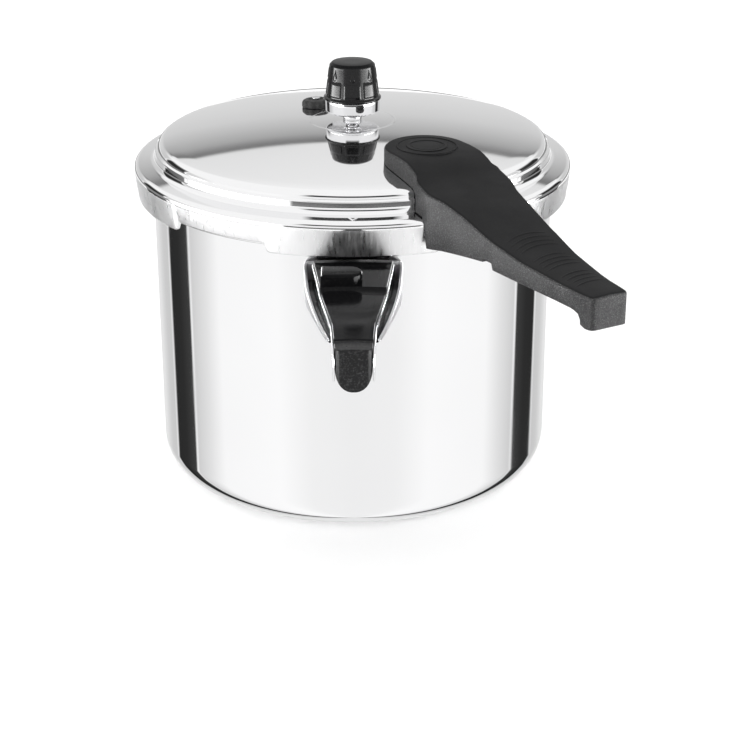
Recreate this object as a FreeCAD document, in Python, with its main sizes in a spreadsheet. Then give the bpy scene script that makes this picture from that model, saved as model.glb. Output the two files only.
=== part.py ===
import FreeCAD, Part
import math
import os

import Sketcher

# A small household pressure canner: a drawn aluminium pot, an outside-locking lid with bayonet
# lugs, two moulded handles and a dead-weight regulator standing on a central vent pipe.
# Frame: +Z up, millimetres, origin at the centre of the pot's flat base. The pot's handle points
# along -Y. The lid is drawn where it drops on, its handle lid_open_angle away from the pot's.

doc = FreeCAD.newDocument("pressure_canner")
sheet = doc.addObject("Spreadsheet::Sheet", "Sizes")

# alias, value in millimetres or degrees, what it is
SIZES = [
    ("pot_outer_radius", 100.0, "outside of the pot wall"),
    ("pot_wall", 2.0, "pot wall"),
    ("pot_base", 3.0, "pot base"),
    ("pot_corner", 15.0, "outside corner between wall and base"),
    ("pot_height", 154.5, "height of the pot's rim"),
    ("rim_bead", 1.5, "reach of the bead round the rim"),
    ("rim_bead_depth", 3.0, "depth of the bead round the rim"),
    ("lug_count", 5.0, "bayonet lugs on the pot and on the lid"),
    ("tab_reach", 4.5, "reach of a pot lug past the wall"),
    ("tab_depth", 4.0, "depth of a pot lug"),
    ("tab_angle", 36.0, "width of a pot lug"),
    ("hook_angle", 28.0, "width of the hook folded under a lid lug"),
    ("hook_gap", 0.5, "height between a hook and the pot lug above it"),
    ("hook_wall_gap", 2.2, "radial gap between a hook and the pot wall"),
    ("lid_lug_angle", 44.0, "width of a lid lug"),
    ("lid_wall", 2.0, "lid sheet"),
    ("skirt_gap", 1.0, "radial gap between the pot lugs and the skirt's lower edge"),
    ("skirt_flare", 1.7, "how much wider the skirt is at its shoulder than at its lower edge"),
    ("skirt_shoulder", 4.0, "shoulder of the skirt below the flange top"),
    ("skirt_short", 12.6, "depth of the skirt between lugs, from the flange top"),
    ("skirt_long", 17.1, "depth of the skirt at a lug, from the flange top"),
    ("lug_corner", 3.0, "rounding of a lid lug's lower corners"),
    ("gasket_height", 4.9, "height of the sealing ring"),
    ("gasket_inner", -3.2, "inside radius of the sealing ring, past the pot wall's outside"),
    ("gasket_outer", 5.3, "outside radius of the sealing ring, past the pot wall's outside"),
    ("gasket_lip", 1.4, "thickness of the sealing ring's lips"),
    ("gasket_root", 3.4, "radial thickness of the sealing ring's solid back"),
    ("seal_gap", 0.1, "clearance above and below the sealing ring"),
    ("dome_edge_radius", -3.0, "radius of the dome's edge, past the pot wall's outside"),
    ("dome_edge_rise", 10.0, "dome edge above the flange top"),
    ("dome_rise", 8.4, "dome centre above the dome edge"),
    ("dome_round", 3.0, "rounding of the dome's edge"),
    ("step_reach", 1.4, "reach of the step below the dome edge"),
    ("step_drop", 4.0, "dome edge down to the step"),
    ("flange_slope", 0.8, "rise of the flange from its edge to the step"),
    ("ring_radius", 20.5, "inside of the raised ring round the vent"),
    ("ring_width", 1.2, "width of the raised ring"),
    ("ring_rise", 0.2, "raised ring above the dome's centre"),
    ("mark_length", 6.0, "limb of the drop-on mark on the flange"),
    ("mark_width", 1.6, "width of the drop-on mark's limbs"),
    ("mark_rise", 0.5, "height of the drop-on mark"),
    ("vent_radius", 2.9, "outside of the vent pipe above its collar"),
    ("vent_bore", 1.3, "radius of the steam passage"),
    ("vent_collar", 4.8, "radius of the vent pipe's collar"),
    ("collar_height", 2.4, "height of the vent pipe's collar"),
    ("vent_thread", 3.9, "radius of the vent pipe's stem through the lid"),
    ("vent_rise", 12.0, "vent pipe above its collar"),
    ("hole_gap", 0.2, "radial clearance of a hole in the lid"),
    ("thread_gap", 0.02, "radial clearance where a thread is drawn plain"),
    ("seat_gap", 0.05, "allowance under a flat piece on the curved lid"),
    ("run_gap", 0.05, "radial clearance of a running fit"),
    ("nut_flat", 13.0, "width across flats of the vent nut"),
    ("nut_height", 4.5, "height of the vent nut"),
    ("seal_disc", 1.2, "thickness of a flat seal"),
    ("weight_radius", 13.7, "outside of the weight's metal ring"),
    ("weight_bottom", 4.0, "underside of the weight above the dome's centre"),
    ("weight_show", 6.5, "height of the metal ring that shows below the cap"),
    ("weight_core", 10.0, "radius of the weight's core inside the cap"),
    ("weight_bore_gap", 0.5, "radial clearance between the weight and the vent pipe"),
    ("core_height", 19.0, "height of the weight's core"),
    ("clip_ring", 1.6, "radial thickness of the retaining ring"),
    ("clip_height", 1.4, "height of the retaining ring"),
    ("clip_lift", 2.0, "retaining ring above the weight's underside"),
    ("cap_lip_radius", 14.3, "outside of the cap's lower lip"),
    ("cap_lip", 1.5, "height of the cap's lip"),
    ("cap_low_radius", 13.2, "outside of the cap just above its lip"),
    ("cap_top_radius", 11.3, "outside of the cap just below its bevel"),
    ("cap_flat_radius", 8.8, "flat top of the cap"),
    ("cap_bevel", 1.6, "height of the cap's top bevel"),
    ("cap_height", 18.5, "height of the cap from its lip to its top"),
    ("panel_count", 8.0, "raised panels round the cap"),
    ("panel_angle", 38.0, "width of a raised panel"),
    ("panel_height", 8.0, "height of a raised panel"),
    ("panel_rise", 0.5, "how far a panel stands proud"),
    ("valve_distance", 32.7, "safety valve from the lid's centre"),
    ("valve_azimuth", 214.4, "safety valve's direction round from the pot's handle"),
    ("valve_radius", 7.4, "outside of the safety valve's head"),
    ("valve_head", 4.2, "height of the safety valve's head"),
    ("valve_neck", 4.6, "radius of the safety valve's neck"),
    ("valve_lip", 6.2, "radius of the safety valve's lip inside the lid"),
    ("valve_lip_height", 2.4, "height of the safety valve's lip"),
    ("scallop_count", 10.0, "scallops round the safety valve's head"),
    ("scallop_radius", 1.9, "radius of a scallop"),
    ("pin_radius", 1.5, "radius of the safety valve's pin"),
    ("pin_head", 2.6, "radius of the pin's heads"),
    ("pin_head_height", 0.9, "height of the pin's heads"),
    ("pin_travel", 3.0, "travel of the pin"),
    ("lid_open_angle", 29.0, "turn of the lid from locked to lift-off"),
    ("grip_end", 117.0, "end of the lid handle, past the pot wall's outside"),
    ("head_centre", -28.5, "centre of the lid handle's head, past the pot wall's outside"),
    ("head_radius", 20.0, "radius of the lid handle's head"),
    ("head_rise", 4.0, "top of the lid handle's head above the dome's centre"),
    ("shoulder_half", 22.6, "half width of the lid handle over the rim"),
    ("waist_half", 16.4, "half width of the lid handle where its grip begins"),
    ("grip_half", 12.8, "half width of the lid handle's grip"),
    ("tip_half", 9.6, "half width of the lid handle's end"),
    ("grip_wall", 3.0, "wall of the lid handle"),
    ("lid_handle_gap", 0.5, "clearance between the lid handle and the lid's flange"),
    ("end_bottom", -11.5, "underside of the lid handle's end, above the rim"),
    ("end_thick", 7.0, "thickness of the lid handle's end"),
    ("disc_radius", 9.8, "radius of the disc on the lid handle's head"),
    ("disc_sink", 1.2, "depth of the recess for the disc"),
    ("disc_proud", 0.3, "how far the disc stands proud"),
    ("disc_gap", 0.1, "radial clearance round the disc"),
    ("pot_grip_start", 2.3, "root of the pot handle, past the pot wall's outside"),
    ("pot_grip_end", 105.0, "end of the pot handle, past the pot wall's outside"),
    ("pot_grip_top", -12.5, "top of the pot handle at its root, above the rim"),
    ("pot_grip_root", 18.6, "half width of the pot handle at its root"),
    ("pot_grip_mid", 14.6, "half width of the pot handle where its platform ends"),
    ("pot_grip_tip", 8.9, "half width of the pot handle's grip at its start"),
    ("pot_grip_nose", 7.7, "half width of the pot handle's end"),
    ("pot_nose", 19.0, "depth of the pot handle's end"),
    ("strip_sheet", 0.9, "sheet of the bright strips along the pot handle"),
    ("strip_drop", 1.6, "strips' upper edge below the top of the pot handle"),
    ("strip_rise", 1.5, "strips' lower edge above the underside of the pot handle"),
    ("strip_end_gap", 0.8, "strips' end short of the pot handle's end"),
    ("platform_end", 38.0, "end of the pot handle's platform, past the pot wall's outside"),
    ("platform_step", 1.8, "step down at the end of the platform"),
    ("grip_under", 40.0, "where the pot handle's underside starts to rise, past the pot wall's outside"),
    ("grip_start", 78.0, "start of the pot handle's narrow grip, past the pot wall's outside"),
    ("stop_height", 5.5, "height of the boss on the pot handle"),
    ("stop_radius", 6.2, "half width of the boss along the handle"),
    ("stop_distance", 31.4, "boss, past the pot wall's outside"),
    ("stop_side", 14.2, "left side of the boss from the middle of the handle"),
    ("guard_half", 22.7, "half width of the flame guard at the pot"),
    ("guard_tip_half", 11.5, "half width of the flame guard's end"),
    ("guard_end", 82.0, "end of the flame guard, past the pot wall's outside"),
    ("guard_bow", 350.0, "radius of the flame guard's cheeks seen from above"),
    ("guard_sheet", 1.5, "flame guard sheet"),
    ("guard_bottom", -36.0, "underside of the flame guard, above the rim"),
    ("guard_low_top", -19.3, "top of the cheeks along the handle, above the rim"),
    ("guard_high_top", -15.0, "top of the cheeks at the pot, above the rim"),
    ("guard_floor_end", 31.0, "end of the flame guard's floor, past the pot wall's outside"),
    ("guard_floor_half", 14.0, "half width of the flame guard's floor"),
    ("cheek_root", 6.5, "cheeks' lower edge at the pot, above the guard's underside"),
    ("cheek_mid", 11.5, "cheeks' lower edge where the platform ends, above the guard's underside"),
    ("cheek_tip", 2.0, "height of the cheeks at their end"),
    ("plate_angle", 25.0, "width of the flame guard's plate on the pot"),
    ("rivet_radius", 2.4, "rivet shank"),
    ("rivet_head", 4.4, "rivet head"),
    ("rivet_head_height", 1.8, "height of a rivet head"),
    ("rivet_angle", 5.2, "rivets each side of the handle's middle"),
    ("rivet_height", -24.5, "rivets, above the rim"),
    ("screw_radius", 2.0, "handle screw shank"),
    ("screw_head", 4.2, "handle screw head"),
    ("screw_head_height", 2.4, "height of a handle screw's head"),
    ("slot_width", 1.0, "screw slot"),
    ("slot_depth", 1.0, "depth of a screw slot"),
    ("screw_reach", 4.6, "reach of a screw into its insert"),
    ("insert_radius", 3.6, "brass insert"),
    ("insert_height", 5.2, "height of a brass insert"),
    ("pot_screw_distance", 21.0, "pot handle's screw, past the pot wall's outside"),
    ("lid_screw_first", -36.0, "lid handle's inner screw, past the pot wall's outside"),
    ("lid_screw_pitch", 19.0, "lid handle's screw to screw"),
    ("rack_radius", -8.0, "edge of the jar rack, past the pot wall's outside"),
    ("rack_sheet", 1.5, "jar rack sheet"),
    ("rack_rise", 10.0, "underside of the jar rack's plate above the pot's floor"),
    ("rack_foot", -20.0, "foot ring of the jar rack, past the pot wall's outside"),
    ("rack_hole", 5.0, "radius of a hole in the jar rack"),
    ("rack_outer_row", -34.0, "outer row of holes, past the pot wall's outside"),
    ("rack_inner_row", 36.0, "radius of the inner row of holes"),
]
LONG_CUT = 400.0

# sizes in the list above that are offsets, under the size each is measured from
MEASURED_FROM = {
    "pot_outer_radius": [
        "gasket_inner", "gasket_outer", "dome_edge_radius", "grip_end", "head_centre",
        "pot_grip_start", "pot_grip_end", "platform_end", "grip_start", "stop_distance",
        "guard_end", "guard_floor_end", "grip_under", "pot_screw_distance", "lid_screw_first",
        "rack_radius", "rack_foot", "rack_outer_row",
    ],
    "pot_height": [
        "pot_grip_top", "guard_bottom", "guard_low_top", "guard_high_top", "rivet_height",
        "end_bottom",
    ],
}


class Dim:
    """A size together with the expression it comes from."""

    def __init__(self, text, value):
        self.text = text
        self.value = float(value)

    def __add__(self, other):
        other = dim(other)
        return Dim("(%s + %s)" % (self.text, other.text), self.value + other.value)

    def __sub__(self, other):
        other = dim(other)
        return Dim("(%s - %s)" % (self.text, other.text), self.value - other.value)

    def __mul__(self, other):
        other = dim(other)
        return Dim("(%s * %s)" % (self.text, other.text), self.value * other.value)

    def __truediv__(self, other):
        other = dim(other)
        return Dim("(%s / %s)" % (self.text, other.text), self.value / other.value)

    def __neg__(self):
        return Dim("(0 - %s)" % self.text, -self.value)


def dim(x):
    return x if isinstance(x, Dim) else Dim(repr(float(x)), x)


def root(x):
    return Dim("sqrt(%s)" % x.text, math.sqrt(x.value))


def fill_sheet():
    """Writes the driving sizes into the sheet and names each one."""
    for row, (alias, value, note) in enumerate(SIZES, start=1):
        sheet.set("A%d" % row, alias)
        sheet.set("B%d" % row, str(value))
        sheet.set("C%d" % row, note)
        sheet.setAlias("B%d" % row, alias)
    doc.recompute()


def size(alias):
    """A size from the sheet, with the size it is measured from added where there is one."""
    found = Dim("Sizes." + alias, sheet.get(alias))
    for start, offsets in MEASURED_FROM.items():
        if alias in offsets:
            return size(start) + found
    return found


def bind(thing, path, amount):
    thing.setExpression(path, dim(amount).text)


def new_body(label):
    body = doc.addObject("PartDesign::Body", label)
    body.AllowCompound = True
    body.Label = label
    return body


def of_origin(body, role):
    return next(f for f in body.Origin.OriginFeatures if f.Role == role)


def new_sketch(body, role="XZ_Plane", lift=None, turn=None, place=None):
    """A sketch on one of the body's own planes, lifted off it, turned about its upright or placed."""
    sketch = body.newObject("Sketcher::SketchObject", body.Label + "_sketch")
    sketch.AttachmentSupport = [(of_origin(body, role), "")]
    sketch.MapMode = "FlatFace"
    if turn is not None:
        upright = FreeCAD.Rotation(FreeCAD.Vector(0, 1, 0), turn.value)
        sketch.AttachmentOffset = FreeCAD.Placement(FreeCAD.Vector(0, 0, 0), upright)
        bind(sketch, ".AttachmentOffset.Rotation.Angle", turn)
    if place is not None:
        sketch.AttachmentOffset = place
    if lift is not None:
        bind(sketch, ".AttachmentOffset.Base.z", lift)
    return sketch


def hold(sketch, edge, end, x, y):
    """Holds one point of an edge at (x, y) from the sketch's origin, by named sizes."""
    for kind, at, axis in (("DistanceX", x, -2), ("DistanceY", y, -1)):
        at = dim(at)
        if at.value == 0.0:
            sketch.addConstraint(Sketcher.Constraint("PointOnObject", edge, end, axis))
        else:
            made = sketch.addConstraint(Sketcher.Constraint(kind, -1, 1, edge, end, at.value))
            sketch.setExpression("Constraints[%d]" % made, at.text)


def add_arc(sketch, a, b, radius, side):
    """An arc from a to b that bulges to one side of the way drawn; also says which end is which."""
    half = (b - a) * 0.5
    right = FreeCAD.Vector(half.y, -half.x, 0).normalize()
    to_centre = right * (-1.0 if side == "right" else 1.0)
    centre = a + half + to_centre * math.sqrt(max(radius.value**2 - half.Length**2, 0.0))
    begin, finish = (a, b) if side == "right" else (b, a)
    angle_0 = math.atan2(begin.y - centre.y, begin.x - centre.x)
    angle_1 = math.atan2(finish.y - centre.y, finish.x - centre.x)
    if angle_1 < angle_0:
        angle_1 += 2 * math.pi
    round_line = Part.Circle(centre, FreeCAD.Vector(0, 0, 1), radius.value)
    edge = sketch.addGeometry(Part.ArcOfCircle(round_line, angle_0, angle_1), False)
    made = sketch.addConstraint(Sketcher.Constraint("Radius", edge, radius.value))
    sketch.setExpression("Constraints[%d]" % made, radius.text)
    return edge, ((1, 2) if side == "right" else (2, 1))


def outline(sketch, corners):
    """A closed outline. A corner is (x, y), or (x, y, radius, side) where an arc leads to it."""
    made = []
    count = len(corners)
    for i in range(count):
        start = corners[i]
        end = corners[(i + 1) % count]
        a = FreeCAD.Vector(dim(start[0]).value, dim(start[1]).value, 0)
        b = FreeCAD.Vector(dim(end[0]).value, dim(end[1]).value, 0)
        if len(end) == 2:
            edge = sketch.addGeometry(Part.LineSegment(a, b), False)
            ends = (1, 2)
        else:
            edge, ends = add_arc(sketch, a, b, dim(end[2]), end[3])
        hold(sketch, edge, ends[1], end[0], end[1])
        made.append((edge, ends))
    for i in range(count):
        edge, ends = made[i]
        after, after_ends = made[(i + 1) % count]
        sketch.addConstraint(Sketcher.Constraint("Coincident", edge, ends[1], after, after_ends[0]))


def circle(sketch, x, y, radius):
    centre = FreeCAD.Vector(dim(x).value, dim(y).value, 0)
    radius = dim(radius)
    edge = sketch.addGeometry(Part.Circle(centre, FreeCAD.Vector(0, 0, 1), radius.value), False)
    hold(sketch, edge, 3, x, y)
    made = sketch.addConstraint(Sketcher.Constraint("Radius", edge, radius.value))
    sketch.setExpression("Constraints[%d]" % made, radius.text)


def feature(body, kind, sketch, name):
    made = body.newObject("PartDesign::" + kind, body.Label + "_" + name)
    made.Profile = sketch
    body.Tip = made
    return made


def turned(body, corners, name="turned", angle=None, turn=None, cut=False):
    """Turns an outline of (radius, height) corners about the upright axis."""
    sketch = new_sketch(body, turn=turn)
    outline(sketch, corners)
    made = feature(body, "Groove" if cut else "Revolution", sketch, name)
    made.ReferenceAxis = (sketch, ["V_Axis"])
    made.Midplane = True
    bind(made, "Angle", 360.0 if angle is None else angle)
    doc.recompute()
    return made


def push(body, sketch, length, name, cut=False, both=False, back=False):
    """Pads or pockets a sketch; both goes to both sides of it, back goes the other way."""
    made = feature(body, "Pocket" if cut else "Pad", sketch, name)
    if both:
        made.SideType = "Symmetric"
    made.Reversed = back
    bind(made, "Length", length)
    doc.recompute()
    return made


def side_pad(body, corners, half_width, name="pad", cut=False):
    """Pads or pockets a side view drawn as (distance from the axis, height), to both sides."""
    sketch = new_sketch(body, "YZ_Plane")
    outline(sketch, [(-dim(c[0]), c[1], *c[2:]) for c in corners])
    return push(body, sketch, dim(half_width) * 2.0, name, cut, both=True)


def trim_plan(body, corners, name="plan"):
    """Cuts away all that lies outside a plan outline of (side, distance from the axis) corners."""
    sketch = new_sketch(body, "XY_Plane")
    far = size("grip_end") * 2.0
    outline(sketch, [(-far, -far), (far, -far), (far, far), (-far, far)])
    outline(sketch, [(c[0], -dim(c[1]), *c[2:]) for c in corners])
    return push(body, sketch, LONG_CUT * 2.0, name, cut=True, both=True)


def rounded(body, radius, wanted, name="rounded"):
    """Fillets the edges of the body so far that wanted(edge) picks."""
    base = body.Tip
    names = ["Edge%d" % n for n, edge in enumerate(base.Shape.Edges, start=1) if wanted(edge)]
    if not names:
        raise ValueError("no edge to round on " + body.Label)
    made = body.newObject("PartDesign::Fillet", body.Label + "_" + name)
    made.Base = (base, names)
    bind(made, "Radius", radius)
    body.Tip = made
    doc.recompute()
    return made


def ring_at(*spots):
    """Picks the round edges of each radius and height given."""

    def wanted(edge):
        curve = edge.Curve
        if not isinstance(curve, Part.Circle) or abs(curve.Axis.z) < 0.99:
            return False
        return any(
            abs(curve.Radius - dim(r).value) < 0.02 and abs(curve.Center.z - dim(z).value) < 0.02
            for r, z in spots
        )

    return wanted


def around(body, features, count, name="around"):
    """Repeats features evenly about the upright axis."""
    made = body.newObject("PartDesign::PolarPattern", body.Label + "_" + name)
    made.Originals = features
    made.Axis = (of_origin(body, "Z_Axis"), [""])
    made.Angle = 360.0
    bind(made, "Occurrences", count)
    body.Tip = made
    doc.recompute()
    return made


fill_sheet()

# ---- heights and radii that several pieces share ------------------------------------------------
FRONT = dim(-90.0)
LUG_PITCH = dim(360.0) / size("lug_count")
POT_R = size("pot_outer_radius")
POT_IN = POT_R - size("pot_wall")
RIM_Z = size("pot_height")
GASKET_BOTTOM = RIM_Z + size("seal_gap")
GASKET_TOP = GASKET_BOTTOM + size("gasket_height")
FLANGE_UNDER = GASKET_TOP + size("seal_gap")
FLANGE_TOP = FLANGE_UNDER + size("lid_wall")
TAB_R = POT_R + size("tab_reach")
SKIRT_IN = TAB_R + size("skirt_gap")
SKIRT_OUT = SKIRT_IN + size("lid_wall")
SHOULDER_R = SKIRT_OUT + size("skirt_flare")
SHOULDER_Z = FLANGE_TOP - size("skirt_shoulder")
SKIRT_Z = FLANGE_TOP - size("skirt_short")
HOOK_Z = FLANGE_TOP - size("skirt_long")
HOOK_TOP = HOOK_Z + size("lid_wall")
TAB_Z = HOOK_TOP + size("hook_gap")
DOME_R = size("dome_edge_radius")
DOME_EDGE_Z = FLANGE_TOP + size("dome_edge_rise")
DOME_TOP = DOME_EDGE_Z + size("dome_rise")
SPHERE = (DOME_R * DOME_R + size("dome_rise") * size("dome_rise")) / (size("dome_rise") * 2.0)
STEP_R = DOME_R + size("step_reach")
STEP_Z = DOME_EDGE_Z - size("step_drop")
COVE_Z = FLANGE_TOP + size("flange_slope")


def dome_z(distance, depth=0.0):
    """Height of the dome at a distance from the axis, on a sphere depth below its outside."""
    reach = SPHERE - depth
    return DOME_TOP - SPHERE + root(reach * reach - dim(distance) * distance)


def on_dome(distance, azimuth, drop=0.0):
    """Where a piece drawn upright stands square on the dome, azimuth degrees round from -Y."""
    distance = dim(distance).value
    lean = math.degrees(math.asin(distance / SPHERE.value))
    tilt = FreeCAD.Placement(
        FreeCAD.Vector(0, -distance, dome_z(distance).value),
        FreeCAD.Rotation(FreeCAD.Vector(1, 0, 0), lean),
    )
    swing = FreeCAD.Placement(
        FreeCAD.Vector(0, 0, 0),
        FreeCAD.Rotation(FreeCAD.Vector(0, 0, 1), dim(azimuth).value),
    )
    sink = FreeCAD.Placement(FreeCAD.Vector(0, 0, -dim(drop).value), FreeCAD.Rotation())
    return swing.multiply(tilt).multiply(sink)


def lid_screws():
    """Distance of each lid handle screw from the axis."""
    return [size("lid_screw_first"), size("lid_screw_first") + size("lid_screw_pitch")]


# ---- pot ----------------------------------------------------------------------------------------
def make_pot_shell():
    """The drawn pot with the bead and the lugs round its rim."""
    body = new_body("pot_shell")
    bead = POT_R + size("rim_bead")
    bead_z = RIM_Z - size("rim_bead_depth")
    floor = size("pot_base")
    turned(body, [
        (0.0, 0.0),
        (POT_R, 0.0),
        (POT_R, bead_z),
        (bead, bead_z),
        (bead, RIM_Z),
        (POT_IN, RIM_Z),
        (POT_IN, floor),
        (0.0, floor),
    ])
    rounded(body, size("pot_corner"), ring_at((POT_R, 0.0)), "outer_corner")
    rounded(body, size("pot_corner") - size("pot_wall"), ring_at((POT_IN, floor)), "inner_corner")
    rim = ring_at((bead, bead_z), (bead, RIM_Z), (POT_IN, RIM_Z))
    rounded(body, size("rim_bead") / 2.5, rim, "rim")
    inside = POT_R - size("pot_wall") / 2.0
    tab_top = TAB_Z + size("tab_depth")
    corners = [(inside, TAB_Z), (TAB_R, TAB_Z), (TAB_R, tab_top), (inside, tab_top)]
    lug = turned(body, corners, "lug", size("tab_angle"), FRONT + LUG_PITCH / 2.0)
    around(body, [lug], size("lug_count"), "lugs")
    for side in (-1.0, 1.0):
        sketch = new_sketch(body, turn=size("rivet_angle") * side)
        circle(sketch, 0.0, size("rivet_height"), size("rivet_radius") + size("thread_gap"))
        push(body, sketch, TAB_R, "rivet_hole", cut=True, back=True)
    return body


def guard_plan(inset):
    """Plan of the flame guard, or of its inside when inset by the sheet."""
    near = size("guard_half") - inset
    far = size("guard_tip_half") - inset
    bow = size("guard_bow") - inset
    back = POT_R - size("pot_wall") * 2.0
    straight = POT_R + size("pot_wall") * 2.0
    end = size("guard_end")
    return [
        (-near, back),
        (-near, straight),
        (-far, end, bow, "right"),
        (far, end),
        (near, straight, bow, "right"),
        (near, back),
    ]


def make_flame_guard():
    """The bright cheeks round the pot handle's root, their floor and the plate on the pot."""
    body = new_body("flame_guard")
    low = size("guard_bottom")
    back = POT_R - size("pot_wall") * 2.0
    floor_end = size("guard_floor_end")
    end = size("guard_end")
    high = size("guard_high_top")
    shoulder = POT_R + size("stop_radius") * 3.2
    side_pad(body, [
        (back, low + size("cheek_root")),
        (back, high),
        (POT_R + size("pot_wall"), high),
        (shoulder, size("guard_low_top")),
        (end, size("guard_low_top")),
        (end, size("guard_low_top") - size("cheek_tip")),
        (size("platform_end"), low + size("cheek_mid")),
        (shoulder, low + size("cheek_root") + 1.0),
    ], size("guard_half") * 1.5)
    trim_plan(body, guard_plan(0.0))
    sketch = new_sketch(body, "XY_Plane", lift=low)
    outline(sketch, [(c[0], -dim(c[1]), *c[2:]) for c in guard_plan(size("guard_sheet"))])
    push(body, sketch, LONG_CUT, "hollow", cut=True, back=True)
    sketch = new_sketch(body, "XY_Plane", lift=low)
    half = size("guard_floor_half")
    near = POT_R - size("pot_wall") / 2.0
    outline(sketch, [(-half, -near), (-half, -floor_end), (half, -floor_end), (half, -near)])
    push(body, sketch, size("guard_sheet"), "floor")
    face = POT_R
    plate = face + size("guard_sheet")
    corners = [(face, low), (plate, low), (plate, high), (face, high)]
    turned(body, corners, "plate", size("plate_angle"), FRONT)
    under = low - 10.0
    over = high + 10.0
    turned(body, [(0.0, under), (face, under), (face, over), (0.0, over)], "seat", cut=True)
    for side in (-1.0, 1.0):
        sketch = new_sketch(body, turn=size("rivet_angle") * side)
        circle(sketch, 0.0, size("rivet_height"), size("rivet_radius") + size("thread_gap"))
        push(body, sketch, size("pot_screw_distance"), "rivet_hole", cut=True, back=True)
    sketch = new_sketch(body, "XY_Plane", lift=low)
    circle(sketch, 0.0, -size("pot_screw_distance"), size("screw_radius") + size("hole_gap"))
    push(body, sketch, size("guard_sheet") * 2.0, "screw_hole", cut=True, back=True)
    return body


def make_bracket_rivet(label, side):
    """One rivet through the pot's wall and the flame guard's plate."""
    body = new_body(label)
    inner = POT_IN
    outer = POT_R + size("guard_sheet")
    inner_head = root(inner * inner - size("rivet_head") * size("rivet_head")) - size("thread_gap")
    head = size("rivet_head_height")
    shank = size("rivet_radius")
    turned(body, [
        (0.0, inner_head - head),
        (size("rivet_head"), inner_head - head / 3.0),
        (size("rivet_head"), inner_head),
        (shank, inner_head),
        (shank, outer),
        (size("rivet_head"), outer),
        (size("rivet_head"), outer + head / 3.0),
        (0.0, outer + head),
    ])
    upright = FreeCAD.Rotation(FreeCAD.Vector(1, 0, 0), 90.0)
    swing = FreeCAD.Rotation(FreeCAD.Vector(0, 0, 1), side * size("rivet_angle").value)
    base = FreeCAD.Vector(0, 0, size("rivet_height").value)
    body.Placement = FreeCAD.Placement(base, swing.multiply(upright))
    body.setExpression(".Placement.Base.z", size("rivet_height").text)
    return body


def make_pot_handle():
    """The pot's solid moulded handle with the boss the lid handle passes over."""
    body = new_body("pot_handle")
    top = size("pot_grip_top")
    step = top - size("platform_step")
    floor = size("guard_bottom") + size("guard_sheet")
    end = size("pot_grip_end")
    tip_top = step - 0.3
    side_pad(body, [
        (size("pot_grip_start"), floor),
        (size("pot_grip_start"), top),
        (size("platform_end"), top),
        (size("platform_end") + 2.0, step),
        (end - 9.0, step + 0.8, LONG_CUT, "right"),
        (end - 7.0, tip_top),
        (end, tip_top),
        (end, tip_top - size("pot_nose")),
        (end - 9.0, tip_top - size("pot_nose") + 0.5),
        (size("grip_start") - 3.0, floor + 6.0),
        (size("grip_under") + 13.0, floor + 5.5),
        (size("grip_under"), floor),
    ], size("pot_grip_root") * 1.2)
    left = pot_grip_side(-1.0, 0.0)
    right = pot_grip_side(1.0, 0.0)
    trim_plan(body, left + right[::-1])
    sketch = new_sketch(body, "XY_Plane", lift=top - 2.0)
    near = -size("stop_distance") + size("stop_radius")
    far = -size("stop_distance") - size("stop_radius")
    left = -size("stop_side")
    outline(sketch, [
        (left, near),
        (left, far),
        (-size("stop_radius") / 3.0, far),
        (size("stop_radius") * 2.0 / 3.0, -size("stop_distance"), size("stop_radius"), "right"),
        (-size("stop_radius") / 3.0, near, size("stop_radius"), "right"),
    ])
    push(body, sketch, size("stop_height") + 2.0, "boss")
    sketch = new_sketch(body)
    half = size("rivet_head") * 3.4
    low = size("rivet_height") - size("rivet_head") - 0.6
    high = size("rivet_height") + size("rivet_head") + 0.6
    outline(sketch, [(-half, low), (half, low), (half, high), (-half, high)])
    depth = size("pot_grip_start") + size("rivet_head_height") + 0.4
    push(body, sketch, depth, "rivet_room", cut=True, back=True)
    turned(body, [
        (0.0, floor - 5.0),
        (size("pot_grip_start"), floor - 5.0),
        (size("pot_grip_start"), top + 15.0),
        (0.0, top + 15.0),
    ], "seat", cut=True)
    sketch = new_sketch(body, "XY_Plane", lift=floor)
    circle(sketch, 0.0, -size("pot_screw_distance"), size("insert_radius"))
    push(body, sketch, size("insert_height"), "insert_room", cut=True, back=True)
    return body


def pot_grip_side(side, spare):
    """One side of the pot handle's plan, spare outside its moulding."""
    start = size("pot_grip_start") - 5.0
    return [
        ((size("pot_grip_root") + spare) * side, start),
        ((size("pot_grip_mid") + spare) * side, size("platform_end")),
        ((size("pot_grip_tip") + spare) * side, size("grip_start")),
        ((size("pot_grip_nose") + spare) * side, size("pot_grip_end") + 5.0),
    ]


def make_handle_strip(label, side):
    """A bright strip along one side of the pot handle."""
    body = new_body(label)
    top = size("pot_grip_top") - size("strip_drop")
    step = top - size("platform_step")
    low = size("guard_bottom") + size("guard_sheet") + size("strip_rise")
    start = size("pot_grip_start") + size("strip_rise")
    end = size("pot_grip_end") - size("strip_end_gap")
    side_pad(body, [
        (start, low),
        (start, top),
        (size("platform_end"), top),
        (size("platform_end") + 2.0, step),
        (end, step),
        (end, low + 1.3),
        (end - 9.0, low + 1.5),
        (size("grip_start") - 3.0, low + 5.4),
        (size("grip_under") + 13.0, low + 5.0),
        (size("grip_under"), low),
    ], size("pot_grip_root") * 1.2)
    inner = pot_grip_side(side, 0.0)
    outer = pot_grip_side(side, size("strip_sheet"))
    trim_plan(body, inner + outer[::-1])
    return body


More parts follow.
